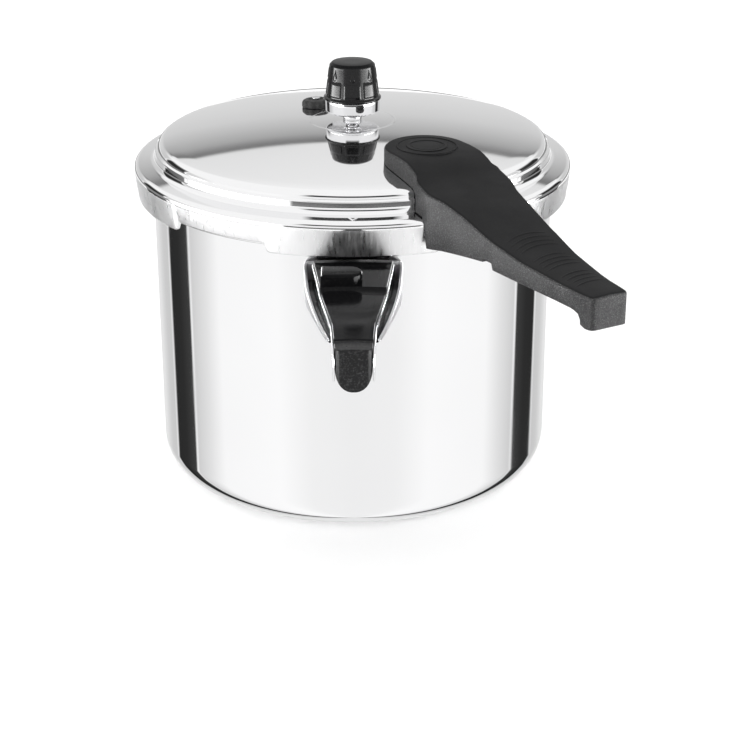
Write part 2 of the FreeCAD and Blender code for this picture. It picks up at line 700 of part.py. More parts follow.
def make_screw(label):
    """A cheese-head screw drawn with the underside of its head at the origin, shank up."""
    body = new_body(label)
    head = size("screw_head_height")
    reach = size("guard_sheet") + size("screw_reach")
    turned(body, [
        (0.0, -head),
        (size("screw_head"), -head),
        (size("screw_head"), 0.0),
        (size("screw_radius"), 0.0),
        (size("screw_radius"), reach),
        (0.0, reach),
    ])
    rounded(body, size("screw_head_height") / 5.0, ring_at((size("screw_head"), -head)), "head")
    sketch = new_sketch(body, "XY_Plane", lift=-head)
    half = size("slot_width") / 2.0
    wide = size("screw_head") * 2.0
    outline(sketch, [(-wide, -half), (wide, -half), (wide, half), (-wide, half)])
    push(body, sketch, size("slot_depth"), "slot", cut=True, back=True)
    return body


def make_insert(label):
    """A moulded-in brass nut drawn with its open end at the origin."""
    body = new_body(label)
    tall = size("insert_height")
    bore = size("screw_radius") + size("thread_gap")
    groove = size("insert_radius") - 0.5
    turned(body, [
        (bore, 0.0),
        (size("insert_radius"), 0.0),
        (size("insert_radius"), tall * 0.4),
        (groove, tall * 0.45),
        (groove, tall * 0.6),
        (size("insert_radius"), tall * 0.65),
        (size("insert_radius"), tall),
        (bore, tall),
    ])
    return body


# ---- lid ----------------------------------------------------------------------------------------
def make_gasket():
    """The sealing ring, open to the steam side so that pressure spreads its lips."""
    body = new_body("gasket")
    inner = size("gasket_inner")
    outer = size("gasket_outer")
    back = outer - size("gasket_root")
    lip = size("gasket_lip")
    turned(body, [
        (inner, GASKET_BOTTOM),
        (outer, GASKET_BOTTOM),
        (outer, GASKET_TOP),
        (inner, GASKET_TOP),
        (inner, GASKET_TOP - lip),
        (back, GASKET_TOP - lip),
        (back, GASKET_BOTTOM + lip),
        (inner, GASKET_BOTTOM + lip),
    ])
    return body


def make_lid_shell():
    """The pressed lid: dome, step, flange, skirt, lugs with their hooks, and its holes."""
    body = new_body("lid_shell")
    wall = size("lid_wall")
    hole = size("vent_thread") + size("hole_gap")
    inner_dome = DOME_R - wall
    step_under = STEP_Z - wall
    turned(body, [
        (hole, dome_z(hole)),
        (DOME_R, DOME_EDGE_Z, SPHERE, "left"),
        (DOME_R, STEP_Z + 0.8),
        (STEP_R, STEP_Z),
        (STEP_R, COVE_Z),
        (SHOULDER_R - 0.2, FLANGE_TOP),
        (SHOULDER_R, SHOULDER_Z),
        (SKIRT_OUT, SKIRT_Z),
        (SKIRT_IN, SKIRT_Z),
        (SHOULDER_R - wall, SHOULDER_Z),
        (SHOULDER_R - wall - 0.2, FLANGE_UNDER),
        (size("gasket_inner") + 3.0, FLANGE_UNDER),
        (STEP_R - wall, COVE_Z - wall),
        (STEP_R - wall, step_under),
        (inner_dome, step_under + 0.8),
        (inner_dome, dome_z(inner_dome, wall)),
        (hole, dome_z(hole, wall), SPHERE - wall, "right"),
    ])
    rounded(body, size("dome_round"), ring_at((DOME_R, DOME_EDGE_Z)), "dome_edge")
    rounded(body, wall * 1.2, ring_at((STEP_R, COVE_Z)), "cove")
    rounded(body, wall * 1.4, ring_at((SHOULDER_R - 0.2, FLANGE_TOP)), "shoulder")
    skirt_top = SKIRT_Z + wall
    lug = turned(body, [
        (SKIRT_IN, skirt_top),
        (SKIRT_OUT, skirt_top),
        (SKIRT_OUT, HOOK_Z),
        (SKIRT_IN, HOOK_Z),
    ], "lug", size("lid_lug_angle"), FRONT)
    hook_in = POT_R + size("hook_wall_gap")
    hook_out = SKIRT_IN + wall / 2.0
    corners = [(hook_in, HOOK_Z), (hook_out, HOOK_Z), (hook_out, HOOK_TOP), (hook_in, HOOK_TOP)]
    hook = turned(body, corners, "hook", size("hook_angle"), FRONT)
    around(body, [lug, hook], size("lug_count"), "lugs")

    def lug_end(edge):
        if not isinstance(edge.Curve, Part.Line) or len(edge.Vertexes) != 2:
            return False
        level = all(abs(v.Z - HOOK_Z.value) < 0.01 for v in edge.Vertexes)
        return level and abs(edge.Length - wall.value) < 0.05

    rounded(body, size("lug_corner"), lug_end, "lug_ends")
    ring_in = size("ring_radius")
    ring_out = ring_in + size("ring_width")
    low = DOME_TOP - wall * 0.8
    high = DOME_TOP + size("ring_rise")
    turned(body, [(ring_in, low), (ring_out, low), (ring_out, high), (ring_in, high)], "ring")
    drop_on_mark(body)
    for distance in lid_screws():
        place = on_dome(distance, size("lid_open_angle"))
        bore(body, place, size("screw_radius") + size("hole_gap"), "screw_hole")
    place = on_dome(size("valve_distance"), size("valve_azimuth"))
    bore(body, place, size("valve_neck") + size("hole_gap") / 2.0, "valve_hole")
    return body


def drop_on_mark(body):
    """The raised V on the flange that lines up with the pot's handle."""
    sketch = new_sketch(body, "XY_Plane", lift=FLANGE_TOP - size("lid_wall") / 2.0)
    near = -(STEP_R + size("lid_wall") * 1.3)
    half = size("mark_length") / 2.0
    wide = size("mark_width")
    depth = size("mark_length") * 0.7
    outline(sketch, [
        (-half, near),
        (0.0, near - depth),
        (half, near),
        (half - wide, near),
        (0.0, near - depth + wide * 1.3),
        (wide - half, near),
    ])
    push(body, sketch, size("lid_wall") / 2.0 + size("mark_rise"), "mark")


def bore(body, place, radius, name):
    """A round hole square to the dome."""
    sketch = new_sketch(body, "XY_Plane", place=place)
    circle(sketch, 0.0, 0.0, radius)
    push(body, sketch, size("lid_wall") * 6.0, name, cut=True, both=True)


def handle_line():
    """The lid handle's top and end, as (distance from the axis, height) corners."""
    head_top = DOME_TOP + size("head_rise")
    end = size("grip_end")
    reach = end - DOME_R
    fall = head_top - FLANGE_TOP
    back = size("head_centre") - size("head_radius") - 5.0
    return [
        (back, head_top),
        (size("head_centre") + size("head_radius") * 0.78, head_top),
        (DOME_R + reach * 0.175, head_top - fall * 0.49),
        (DOME_R + reach * 0.283, head_top - fall * 0.607),
        (DOME_R + reach * 0.442, head_top - fall * 0.848),
        (DOME_R + reach * 0.625, FLANGE_TOP - 1.1),
        (DOME_R + reach * 0.85, FLANGE_TOP - 3.6),
        (end, FLANGE_TOP - 3.8),
    ]


def make_lid_handle():
    """The lid's hollow moulded handle, saddled over the rim and hooked down at its end."""
    body = new_body("lid_handle")
    end = size("grip_end")
    hook = end - size("end_thick")
    under = FLANGE_TOP - 12.2
    line = handle_line()
    side_pad(body, line + [
        (end, size("end_bottom")),
        (hook, size("end_bottom")),
        (hook, under - 0.4),
        (end - 18.0, under),
        (end - 45.0, under + 0.9),
        (end - 63.0, under + 1.7),
        (end - 64.0, under + 4.6),
        (end - 69.5, under + 4.9),
        (end - 70.0, under + 3.5),
        (SHOULDER_R, under - 0.9),
        (line[0][0], under - 0.9),
    ], size("shoulder_half") * 1.2)
    head = size("head_centre")
    radius = size("head_radius")
    wide = size("shoulder_half")
    waist = size("waist_half")
    grip = size("grip_half")
    tip = size("tip_half")
    trim_plan(body, [
        (-radius, head, radius, "right"),
        (-wide, SHOULDER_R - 5.0),
        (-wide, SHOULDER_R + 1.0),
        (-wide * 0.86, SHOULDER_R + 12.0),
        (-waist, end - 62.0),
        (-grip, end - 34.0),
        (-tip, end - 3.0),
        (3.0 - tip.value, end),
        (tip - 3.0, end),
        (tip, end - 3.0),
        (grip, end - 34.0),
        (waist, end - 62.0),
        (wide * 0.86, SHOULDER_R + 12.0),
        (wide, SHOULDER_R + 1.0),
        (wide, SHOULDER_R - 5.0),
        (radius, head),
        (0.0, head - radius, radius, "right"),
    ])
    gap = size("lid_handle_gap")
    under = HOOK_Z - 10.0
    turned(body, [
        (0.0, under),
        (SHOULDER_R + gap, under),
        (SHOULDER_R + gap, FLANGE_TOP + gap),
        (STEP_R + gap, FLANGE_TOP + size("flange_slope") + gap),
        (STEP_R + gap, STEP_Z + gap),
        (DOME_R + gap, STEP_Z + 0.8 + gap),
        (DOME_R + gap, dome_z(DOME_R + gap)),
        (0.0, DOME_TOP, SPHERE, "right"),
    ], "saddle", cut=True)
    wall = size("grip_wall")
    inner = SHOULDER_R + wall + gap
    side_pad(body, [
        (inner, HOOK_Z),
        (inner, line[2][1] - wall),
        (line[3][0], line[3][1] - wall),
        (line[4][0], line[4][1] - wall),
        (line[5][0], line[5][1] - wall),
        (line[6][0], line[6][1] - wall),
        (hook - 3.0, line[7][1] - wall),
        (hook - 3.0, HOOK_Z),
    ], tip - wall, "hollow", cut=True)
    side_pad(body, [
        (inner, HOOK_Z),
        (inner, line[3][1] - wall * 2.0),
        (inner + 14.0, line[3][1] - wall * 3.0),
        (inner + 14.0, HOOK_Z),
    ], wide - wall * 1.9, "root_hollow", cut=True)
    side_pad(body, [
        (inner, HOOK_Z),
        (inner, line[3][1] - wall * 2.0),
        (end - 62.0, line[4][1] - wall * 1.5),
        (end - 62.0, HOOK_Z),
    ], waist - wall * 1.1, "mid_hollow", cut=True)
    side_pad(body, [
        (end - 63.0, HOOK_Z),
        (end - 63.0, line[4][1] - wall * 1.5),
        (end - 34.0, line[5][1] - wall * 1.5),
        (end - 34.0, HOOK_Z),
    ], grip - wall, "grip_hollow", cut=True)
    top = DOME_TOP + size("head_rise")
    sketch = new_sketch(body, "XY_Plane", lift=top)
    circle(sketch, 0.0, -head, size("disc_radius") + size("disc_gap"))
    push(body, sketch, size("disc_sink"), "disc_recess", cut=True)
    for distance in lid_screws():
        sketch = new_sketch(body, "XY_Plane", place=on_dome(distance, 0.0))
        circle(sketch, 0.0, 0.0, size("insert_radius"))
        push(body, sketch, size("insert_height"), "insert_room", cut=True, back=True)
    swing_with_lid(body)
    return body


def swing_with_lid(body):
    """Swings a piece drawn over the pot's handle round to where the lid drops on."""
    angle = size("lid_open_angle")
    upright = FreeCAD.Rotation(FreeCAD.Vector(0, 0, 1), angle.value)
    body.Placement = FreeCAD.Placement(FreeCAD.Vector(0, 0, 0), upright)
    body.setExpression(".Placement.Rotation.Angle", angle.text)


def make_handle_disc():
    """The blank round disc let into the head of the lid's handle."""
    body = new_body("lid_handle_disc")
    sketch = new_sketch(body, "XY_Plane", lift=DOME_TOP + size("head_rise") - size("disc_sink"))
    circle(sketch, 0.0, -size("head_centre"), size("disc_radius"))
    push(body, sketch, size("disc_sink") + size("disc_proud"), "disc")
    swing_with_lid(body)
    return body


def make_seal(label, hole, radius):
    """A flat rubber seal drawn with its upper face at the origin."""
    body = new_body(label)
    thick = size("seal_disc")
    turned(body, [(hole, -thick), (radius, -thick), (radius, 0.0), (hole, 0.0)])
    return body


def make_vent_pipe():
    """The bored vent pipe with its collar and the plain stem of its thread."""
    body = new_body("vent_pipe")
    hole = size("vent_bore")
    collar_top = DOME_TOP + size("collar_height")
    stem = DOME_TOP - size("lid_wall") - size("seal_disc") - size("nut_height") - 1.0
    turned(body, [
        (hole, stem),
        (size("vent_thread"), stem),
        (size("vent_thread"), DOME_TOP),
        (size("vent_collar"), DOME_TOP),
        (size("vent_collar"), collar_top),
        (size("vent_radius"), collar_top),
        (size("vent_radius"), collar_top + size("vent_rise")),
        (hole, collar_top + size("vent_rise")),
    ])
    pipe_top = collar_top + size("vent_rise")
    edges = ring_at((size("vent_collar"), collar_top), (size("vent_radius"), pipe_top))
    rounded(body, size("vent_bore") / 3.0, edges, "edges")
    return body


def vent_seal_top():
    """Height of the vent's seal, clear of the dome's curve out to the seal's edge."""
    return dome_z(size("nut_flat") / 2.0, size("lid_wall")) - size("thread_gap")


def make_vent_nut():
    """The hexagon nut that holds the vent pipe from inside the lid."""
    body = new_body("vent_nut")
    top = vent_seal_top() - size("seal_disc")
    half = size("nut_flat") / 2.0
    corner = size("nut_flat") / math.sqrt(3.0)
    sketch = new_sketch(body, "XY_Plane", lift=top)
    outline(sketch, [
        (corner, 0.0),
        (corner / 2.0, half),
        (-corner / 2.0, half),
        (-corner, 0.0),
        (-corner / 2.0, -half),
        (corner / 2.0, -half),
    ])
    push(body, sketch, size("nut_height"), "hexagon", back=True)
    sketch = new_sketch(body, "XY_Plane", lift=top)
    circle(sketch, 0.0, 0.0, size("vent_thread") + size("thread_gap"))
    push(body, sketch, size("nut_height") * 2.0, "thread", cut=True)
    return body


def make_valve_plug():
    """The scalloped rubber plug of the safety valve, drawn standing at the origin."""
    body = new_body("safety_valve_plug")
    hole = size("pin_radius") + size("run_gap")
    head = size("valve_head")
    under = size("lid_wall") + size("seat_gap")
    neck = size("valve_neck")
    lip = size("valve_lip")
    turned(body, [
        (hole, -under - size("valve_lip_height")),
        (lip - 1.2, -under - size("valve_lip_height")),
        (lip, -under - size("valve_lip_height") / 2.0),
        (lip, -under),
        (neck, -under),
        (neck, 0.0),
        (size("valve_radius"), 0.0),
        (size("valve_radius"), head * 0.6),
        (size("valve_radius") - 1.6, head),
        (hole, head),
    ])
    sketch = new_sketch(body, "XY_Plane", lift=head)
    circle(sketch, size("valve_radius") + size("scallop_radius") * 0.6, 0.0, size("scallop_radius"))
    cut = push(body, sketch, head, "scallop", cut=True)
    around(body, [cut], size("scallop_count"), "scallops")
    body.Placement = on_dome(size("valve_distance"), size("valve_azimuth"))
    return body


def make_valve_pin():
    """The pin that rises through the plug and closes it."""
    body = new_body("safety_valve_pin")
    top = size("valve_head") + size("run_gap")
    under = -(size("lid_wall") + size("seat_gap") + size("valve_lip_height"))
    low = under - size("pin_travel") - size("seal_gap")
    head = size("pin_head")
    tall = size("pin_head_height")
    turned(body, [
        (0.0, low - tall),
        (head, low - tall),
        (head, low),
        (size("pin_radius"), low),
        (size("pin_radius"), top),
        (head * 0.85, top),
        (head * 0.85, top + tall * 0.5),
        (head * 0.5, top + tall),
        (0.0, top + tall),
    ])
    body.Placement = on_dome(size("valve_distance"), size("valve_azimuth"))
    return body


# ---- weight -------------------------------------------------------------------------------------
WEIGHT_Z = DOME_TOP + size("weight_bottom")
CLIP_IN = size("vent_radius") + size("run_gap")
CLIP_OUT = CLIP_IN + size("clip_ring")
CLIP_Z = WEIGHT_Z + size("clip_lift")
PIPE_TOP = DOME_TOP + size("collar_height") + size("vent_rise")
CORE_TOP = WEIGHT_Z + size("core_height")
LIP_Z = WEIGHT_Z + size("weight_show")


def make_weight_clip():
    """The ring that keeps the weight on the vent pipe and lets it spin."""
    body = new_body("weight_clip")
    top = CLIP_Z + size("clip_height")
    turned(body, [(CLIP_IN, CLIP_Z), (CLIP_OUT, CLIP_Z), (CLIP_OUT, top), (CLIP_IN, top)])
    return body


def make_weight_body():
    """The turned metal weight, bored for the vent pipe."""
    body = new_body("weight_body")
    hole = size("vent_radius") + size("weight_bore_gap")
    groove = CLIP_OUT + size("run_gap")
    seat = PIPE_TOP + size("seal_disc") * 3.0
    turned(body, [
        (hole, WEIGHT_Z),
        (size("weight_radius"), WEIGHT_Z),
        (size("weight_radius"), LIP_Z),
        (size("weight_core"), LIP_Z),
        (size("weight_core"), CORE_TOP),
        (0.0, CORE_TOP),
        (0.0, seat),
        (hole, seat),
        (hole, CLIP_Z + size("clip_height") + size("run_gap")),
        (groove, CLIP_Z + size("clip_height") + size("run_gap")),
        (groove, CLIP_Z - size("run_gap")),
        (hole, CLIP_Z - size("run_gap")),
    ])
    rounded(body, size("clip_height") / 2.0, ring_at((size("weight_radius"), WEIGHT_Z)), "edge")
    return body


def make_weight_seat():
    """The cone that closes the vent pipe under the weight."""
    body = new_body("weight_seat")
    radius = size("vent_radius") + size("weight_bore_gap") - size("thread_gap")
    seat = PIPE_TOP + size("seal_disc") * 3.0
    face = PIPE_TOP + size("thread_gap")
    nose = size("vent_bore") - size("hole_gap")
    turned(body, [
        (0.0, face - size("vent_bore")),
        (nose / 2.0, face - size("vent_bore")),
        (nose, face),
        (radius, face),
        (radius, seat),
        (0.0, seat),
    ])
    return body


def make_weight_cap():
    """The moulded cap pressed over the weight, with its ring of raised panels."""
    body = new_body("weight_cap")
    top = LIP_Z + size("cap_height")
    lip_top = LIP_Z + size("cap_lip")
    bevel = top - size("cap_bevel")
    core = size("weight_core")
    turned(body, [
        (core, LIP_Z),
        (size("cap_lip_radius"), LIP_Z),
        (size("cap_lip_radius"), lip_top),
        (size("cap_low_radius"), lip_top),
        (size("cap_top_radius"), bevel),
        (size("cap_flat_radius"), top),
        (0.0, top),
        (0.0, CORE_TOP),
        (core, CORE_TOP),
    ])
    low = size("cap_low_radius")
    rise = size("panel_rise")
    panel = turned(body, [
        (core + 0.5, lip_top),
        (low + rise, lip_top),
        (low - rise * 0.8, lip_top + size("panel_height")),
        (core + 0.5, lip_top + size("panel_height")),
    ], "panel", size("panel_angle"), FRONT)
    around(body, [panel], size("panel_count"), "panels")
    return body


# ---- rack ---------------------------------------------------------------------------------------
def make_jar_rack():
    """The perforated plate that keeps the jars off the pot's floor."""
    body = new_body("jar_rack")
    floor = size("pot_base")
    under = floor + size("rack_rise")
    top = under + size("rack_sheet")
    foot = size("rack_foot")
    foot_in = foot - size("rack_sheet")
    turned(body, [
        (0.0, under),
        (foot_in, under),
        (foot_in, floor),
        (foot, floor),
        (foot, under),
        (size("rack_radius"), under),
        (size("rack_radius"), top),
        (0.0, top),
    ])
    for row, count in ((size("rack_outer_row"), 12.0), (size("rack_inner_row"), 6.0)):
        sketch = new_sketch(body, "XY_Plane", lift=top)
        circle(sketch, row, 0.0, size("rack_hole"))
        hole = push(body, sketch, size("rack_sheet") * 2.0, "hole", cut=True)
        around(body, [hole], count, "holes")
    return body


# ---- assembly -----------------------------------------------------------------------------------
nodes = [make_pot_shell(), make_flame_guard()]
for number, side in ((1, -1.0), (2, 1.0)):
    nodes.append(make_bracket_rivet("bracket_rivet_%d" % number, side))
nodes.append(make_pot_handle())
nodes += [make_handle_strip("handle_strip_1", -1.0), make_handle_strip("handle_strip_2", 1.0)]

pot_screw = make_screw("pot_handle_screw")
pot_screw.setExpression(".Placement.Base.y", (-size("pot_screw_distance")).text)
pot_screw.setExpression(".Placement.Base.z", size("guard_bottom").text)
pot_insert = make_insert("pot_handle_insert")
pot_insert.setExpression(".Placement.Base.y", (-size("pot_screw_distance")).text)
pot_insert.setExpression(".Placement.Base.z", (size("guard_bottom") + size("guard_sheet")).text)
nodes += [pot_screw, pot_insert, make_gasket(), make_lid_shell(), make_lid_handle()]
nodes.append(make_handle_disc())

seal_drop = size("lid_wall") + size("seat_gap")
for number, distance in enumerate(lid_screws(), start=1):
    seal = make_seal("lid_screw_seal_%d" % number, size("screw_radius") + 0.05, size("screw_head"))
    seal.Placement = on_dome(distance, size("lid_open_angle"), seal_drop)
    screw = make_screw("lid_handle_screw_%d" % number)
    screw.Placement = on_dome(distance, size("lid_open_angle"), seal_drop + size("seal_disc"))
    insert = make_insert("lid_handle_insert_%d" % number)
    insert.Placement = on_dome(distance, size("lid_open_angle"))
    nodes += [seal, screw, insert]

vent_seal = make_seal("vent_seal", size("vent_thread") + size("thread_gap"), size("nut_flat") / 2.0)
vent_seal.setExpression(".Placement.Base.z", vent_seal_top().text)
nodes += [make_vent_pipe(), vent_seal, make_vent_nut(), make_valve_plug(), make_valve_pin()]
nodes += [make_weight_clip(), make_weight_body(), make_weight_seat(), make_weight_cap()]
nodes.append(make_jar_rack())
doc.recompute()

for thing in doc.Objects:
    if "Invalid" in thing.State or "Error" in thing.State:
        raise ValueError("%s did not build: %s" % (thing.Label, thing.State))
for node in nodes:
    if node.Shape.isNull() or not node.Shape.isValid():
        raise ValueError(node.Label + " has no valid shape")
    if len(node.Shape.Solids) != 1:
        raise ValueError("%s is %d solids" % (node.Label, len(node.Shape.Solids)))

os.makedirs("parts", exist_ok=True)
for node in nodes:
    node.Shape.exportStep("parts/%s.step" % node.Label)
    box = node.Shape.BoundBox
    print("%-22s %8.0f  z %.2f..%.2f" % (node.Label, node.Shape.Volume, box.ZMin, box.ZMax))
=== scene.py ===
import math

import bmesh
import bpy
from mathutils import Matrix, Vector


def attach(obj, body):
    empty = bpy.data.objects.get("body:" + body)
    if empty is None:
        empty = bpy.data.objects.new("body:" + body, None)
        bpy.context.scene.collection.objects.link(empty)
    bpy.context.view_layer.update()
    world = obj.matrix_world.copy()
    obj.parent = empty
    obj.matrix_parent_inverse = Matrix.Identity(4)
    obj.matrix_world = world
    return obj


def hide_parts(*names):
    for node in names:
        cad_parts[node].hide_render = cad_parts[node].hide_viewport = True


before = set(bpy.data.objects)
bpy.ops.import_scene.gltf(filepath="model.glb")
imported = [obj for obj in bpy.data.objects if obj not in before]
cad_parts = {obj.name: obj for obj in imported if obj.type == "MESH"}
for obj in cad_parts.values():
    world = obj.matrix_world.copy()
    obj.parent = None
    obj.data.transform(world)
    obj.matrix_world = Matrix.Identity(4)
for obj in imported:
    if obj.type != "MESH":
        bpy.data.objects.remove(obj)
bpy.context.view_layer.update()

MM = 0.001
POT_R = 100.0
FRONT = -90.0
LID_AZIMUTH = 29.0
DOME_TOP = 180.0
DOME_SPHERE = 564.3
LID_WALL = 2.0
SHOULDER_Z = 157.6
SKIRT_LOW = 149.0
LUG_LOW = 144.5
LUG_HALF = 22.0
LUGS = 5
LUG_PITCH = 360.0 / LUGS


# ---- making pieces ------------------------------------------------------------------------------
def finish_piece(name, bm, body, replaced, materials, sharp=32.0):
    """Turns a finished bmesh into a smooth-shaded object that rides on its body."""
    bmesh.ops.remove_doubles(bm, verts=bm.verts, dist=1e-6)
    bmesh.ops.recalc_face_normals(bm, faces=bm.faces)
    for face in bm.faces:
        face.smooth = True
    for edge in bm.edges:
        if len(edge.link_faces) == 2 and edge.calc_face_angle(0.0) > math.radians(sharp):
            edge.smooth = False
    mesh = bpy.data.meshes.new(name)
    bm.to_mesh(mesh)
    bm.free()
    piece = bpy.data.objects.new(name, mesh)
    bpy.context.scene.collection.objects.link(piece)
    for material in materials:
        mesh.materials.append(material)
    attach(piece, body)
    if replaced:
        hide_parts(*replaced)


def section(bm, corners, closed):
    """Draws a section of (radius, height, rounding) corners in millimetres and rounds them."""
    verts = [bm.verts.new((c[0] * MM, 0.0, c[1] * MM)) for c in corners]
    pairs = list(zip(verts, verts[1:]))
    if closed:
        pairs.append((verts[-1], verts[0]))
    for pair in pairs:
        bm.edges.new(pair)
    for vert, corner in zip(verts, corners):
        if len(corner) < 3 or corner[2] <= 0.0:
            continue
        ends = [edge.other_vert(vert).co - vert.co for edge in vert.link_edges]
        turn = math.pi - ends[0].angle(ends[1])
        reach = corner[2] * MM * math.tan(turn / 2.0)
        segments = max(3, int(math.degrees(turn) / 11.0) + 1)
        bmesh.ops.bevel(
            bm, geom=[vert], offset=reach, affect="VERTICES", segments=segments,
            profile=0.5, material=-1,
        )
    loose = {edge for edge in bm.edges if not edge.link_faces}
    return list({vert for edge in loose for vert in edge.verts}) + list(loose)


def spin(bm, corners, steps=256, closed=True):
    """A full turn of a section about the upright axis: one part of the turn, copied round."""
    parts = 8
    kept = set(bm.verts)
    geom = section(bm, corners, closed)
    bmesh.ops.spin(
        bm, geom=geom, cent=(0, 0, 0), axis=(0, 0, 1), dvec=(0, 0, 0),
        angle=math.tau / parts, steps=steps // parts, use_merge=False, use_duplicate=False,
    )
    verts = [vert for vert in bm.verts if vert not in kept]
    inside = set(verts)
    faces = [face for face in bm.faces if face.verts[0] in inside]
    for edge in [e for e in bm.edges if e.verts[0] in inside and not e.link_faces]:
        bm.edges.remove(edge)
    first = verts + faces
    for number in range(1, parts):
        copied = bmesh.ops.duplicate(bm, geom=first)
        fresh = verts_in(copied["geom"])
        at_azimuth(bm, fresh, 360.0 * number / parts)
        verts += fresh
    bmesh.ops.remove_doubles(bm, verts=verts, dist=1e-6)
    return [vert for vert in bm.verts if vert not in kept]


def verts_in(geom):
    """The verts in a list of mixed bmesh parts."""
    return [part for part in geom if isinstance(part, bmesh.types.BMVert)]


def spin_part(bm, corners, middle, width, steps):
    """A section turned through part of a circle, closed at both ends."""
    geom = section(bm, corners, True)
    at_azimuth(bm, verts_in(geom), middle - width / 2.0)
    made = bmesh.ops.spin(
        bm, geom=geom, cent=(0, 0, 0), axis=(0, 0, 1), dvec=(0, 0, 0),
        angle=math.radians(width), steps=steps, use_merge=False, use_duplicate=False,
    )
    first = [g for g in geom if isinstance(g, bmesh.types.BMEdge) and g.is_valid]
    last = [g for g in made["geom_last"] if isinstance(g, bmesh.types.BMEdge)]
    for loop in (first, last):
        bmesh.ops.contextual_create(bm, geom=loop)


def at_azimuth(bm, verts, degrees):
    """Swings verts round the upright axis, from where they were drawn."""
    turn = Matrix.Rotation(math.radians(degrees), 3, "Z")
    bmesh.ops.rotate(bm, cent=(0, 0, 0), matrix=turn, verts=verts)


def pushed_out(bm, faces, drop):
    """Pushes flat faces straight up or down by a height in metres; returns the verts that moved."""
    pushed = bmesh.ops.extrude_face_region(bm, geom=faces)
    moved = verts_in(pushed["geom"])
    bmesh.ops.translate(bm, vec=(0, 0, drop), verts=moved)
    return moved


def cut_up(bm, distances, sides):
    """Cuts everything by upright planes, across the handle and along it, so that it can bend."""
    planes = [((0, -distance * MM, 0), (0, 1, 0)) for distance in distances]
    planes += [((side * MM, 0, 0), (1, 0, 0)) for side in sides]
    for place, facing in planes:
        everything = list(bm.verts) + list(bm.edges) + list(bm.faces)
        bmesh.ops.bisect_plane(bm, geom=everything, dist=1e-7, plane_co=place, plane_no=facing)


def round_edges(bm, edges, radius, segments):
    """Rounds edges by a radius in millimetres."""
    bmesh.ops.bevel(
        bm, geom=edges, offset=radius * MM, offset_type="OFFSET", affect="EDGES", segments=segments,
        profile=0.5, material=-1, clamp_overlap=True,
    )


def sharp_edges(edges):
    """Those edges where two faces meet at more than 50 degrees."""
    limit = math.radians(50)
    return [edge for edge in edges if len(edge.link_faces) == 2 and edge.calc_face_angle(0.0) > limit]


def ramp(x, stops):
    """Straight runs between (place, value) stops."""
    if x <= stops[0][0]:
        return stops[0][1]
    for (x0, y0), (x1, y1) in zip(stops, stops[1:]):
        if x <= x1:
            return y0 + (y1 - y0) * (x - x0) / (x1 - x0)
    return stops[-1][1]


# ---- materials ----------------------------------------------------------------------------------
def new_material(name, colour, metallic, roughness, **sockets):
    """A new material with its nodes, its links and its shader node."""
    material = bpy.data.materials.new(name)
    material.use_nodes = True
    shader = material.node_tree.nodes["Principled BSDF"]
    shader.inputs["Base Color"].default_value = (*colour, 1.0)
    shader.inputs["Metallic"].default_value = metallic
    shader.inputs["Roughness"].default_value = roughness
    for socket, value in sockets.items():
        shader.inputs[socket.replace("_", " ")].default_value = value
    return material, material.node_tree.nodes, material.node_tree.links, shader


def group(name, inputs, outputs):
    """A shader group with named sockets; returns its tree, its input node and its output node."""
    tree = bpy.data.node_groups.new(name, "ShaderNodeTree")
    for socket, kind, value in inputs:
        made = tree.interface.new_socket(socket, in_out="INPUT", socket_type=kind)
        if value is not None:
            made.default_value = value
    for socket, kind in outputs:
        tree.interface.new_socket(socket, in_out="OUTPUT", socket_type=kind)
    return tree, tree.nodes.new("NodeGroupInput"), tree.nodes.new("NodeGroupOutput")


def math_node(nodes, links, operation, a, b=None):
    """One sum on numbers or sockets."""
    node = nodes.new("ShaderNodeMath")
    node.operation = operation
    for i, value in enumerate((a, b)):
        if value is None:
            continue
        if isinstance(value, (int, float)):
            node.inputs[i].default_value = value
        else:
            links.new(value, node.inputs[i])
    return node.outputs[0]


def make_speckle():
    """Fine moulded grain: a height, a light speckle mask and a slow blotch, in object space."""
    tree, start, end = group(
        "moulded_grain",
        [("Grain size", "NodeSocketFloat", 1800.0), ("Blotch size", "NodeSocketFloat", 60.0)],
        [("Height", "NodeSocketFloat"), ("Speckle", "NodeSocketFloat"), ("Blotch", "NodeSocketFloat")],
    )
    nodes, links = tree.nodes, tree.links
    place = nodes.new("ShaderNodeTexCoord").outputs["Object"]
    fine = nodes.new("ShaderNodeTexNoise")
    fine.inputs["Detail"].default_value = 3.0
    fine.inputs["Roughness"].default_value = 0.65
    links.new(place, fine.inputs["Vector"])
    links.new(start.outputs["Grain size"], fine.inputs["Scale"])
    slow = nodes.new("ShaderNodeTexNoise")
    slow.inputs["Detail"].default_value = 4.0
    links.new(place, slow.inputs["Vector"])
    links.new(start.outputs["Blotch size"], slow.inputs["Scale"])
    peak = nodes.new("ShaderNodeMapRange")
    peak.inputs["From Min"].default_value = 0.5
    peak.inputs["From Max"].default_value = 0.72
    links.new(fine.outputs["Fac"], peak.inputs["Value"])
    links.new(fine.outputs["Fac"], end.inputs["Height"])
    links.new(peak.outputs[0], end.inputs["Speckle"])
    links.new(slow.outputs["Fac"], end.inputs["Blotch"])
    return tree


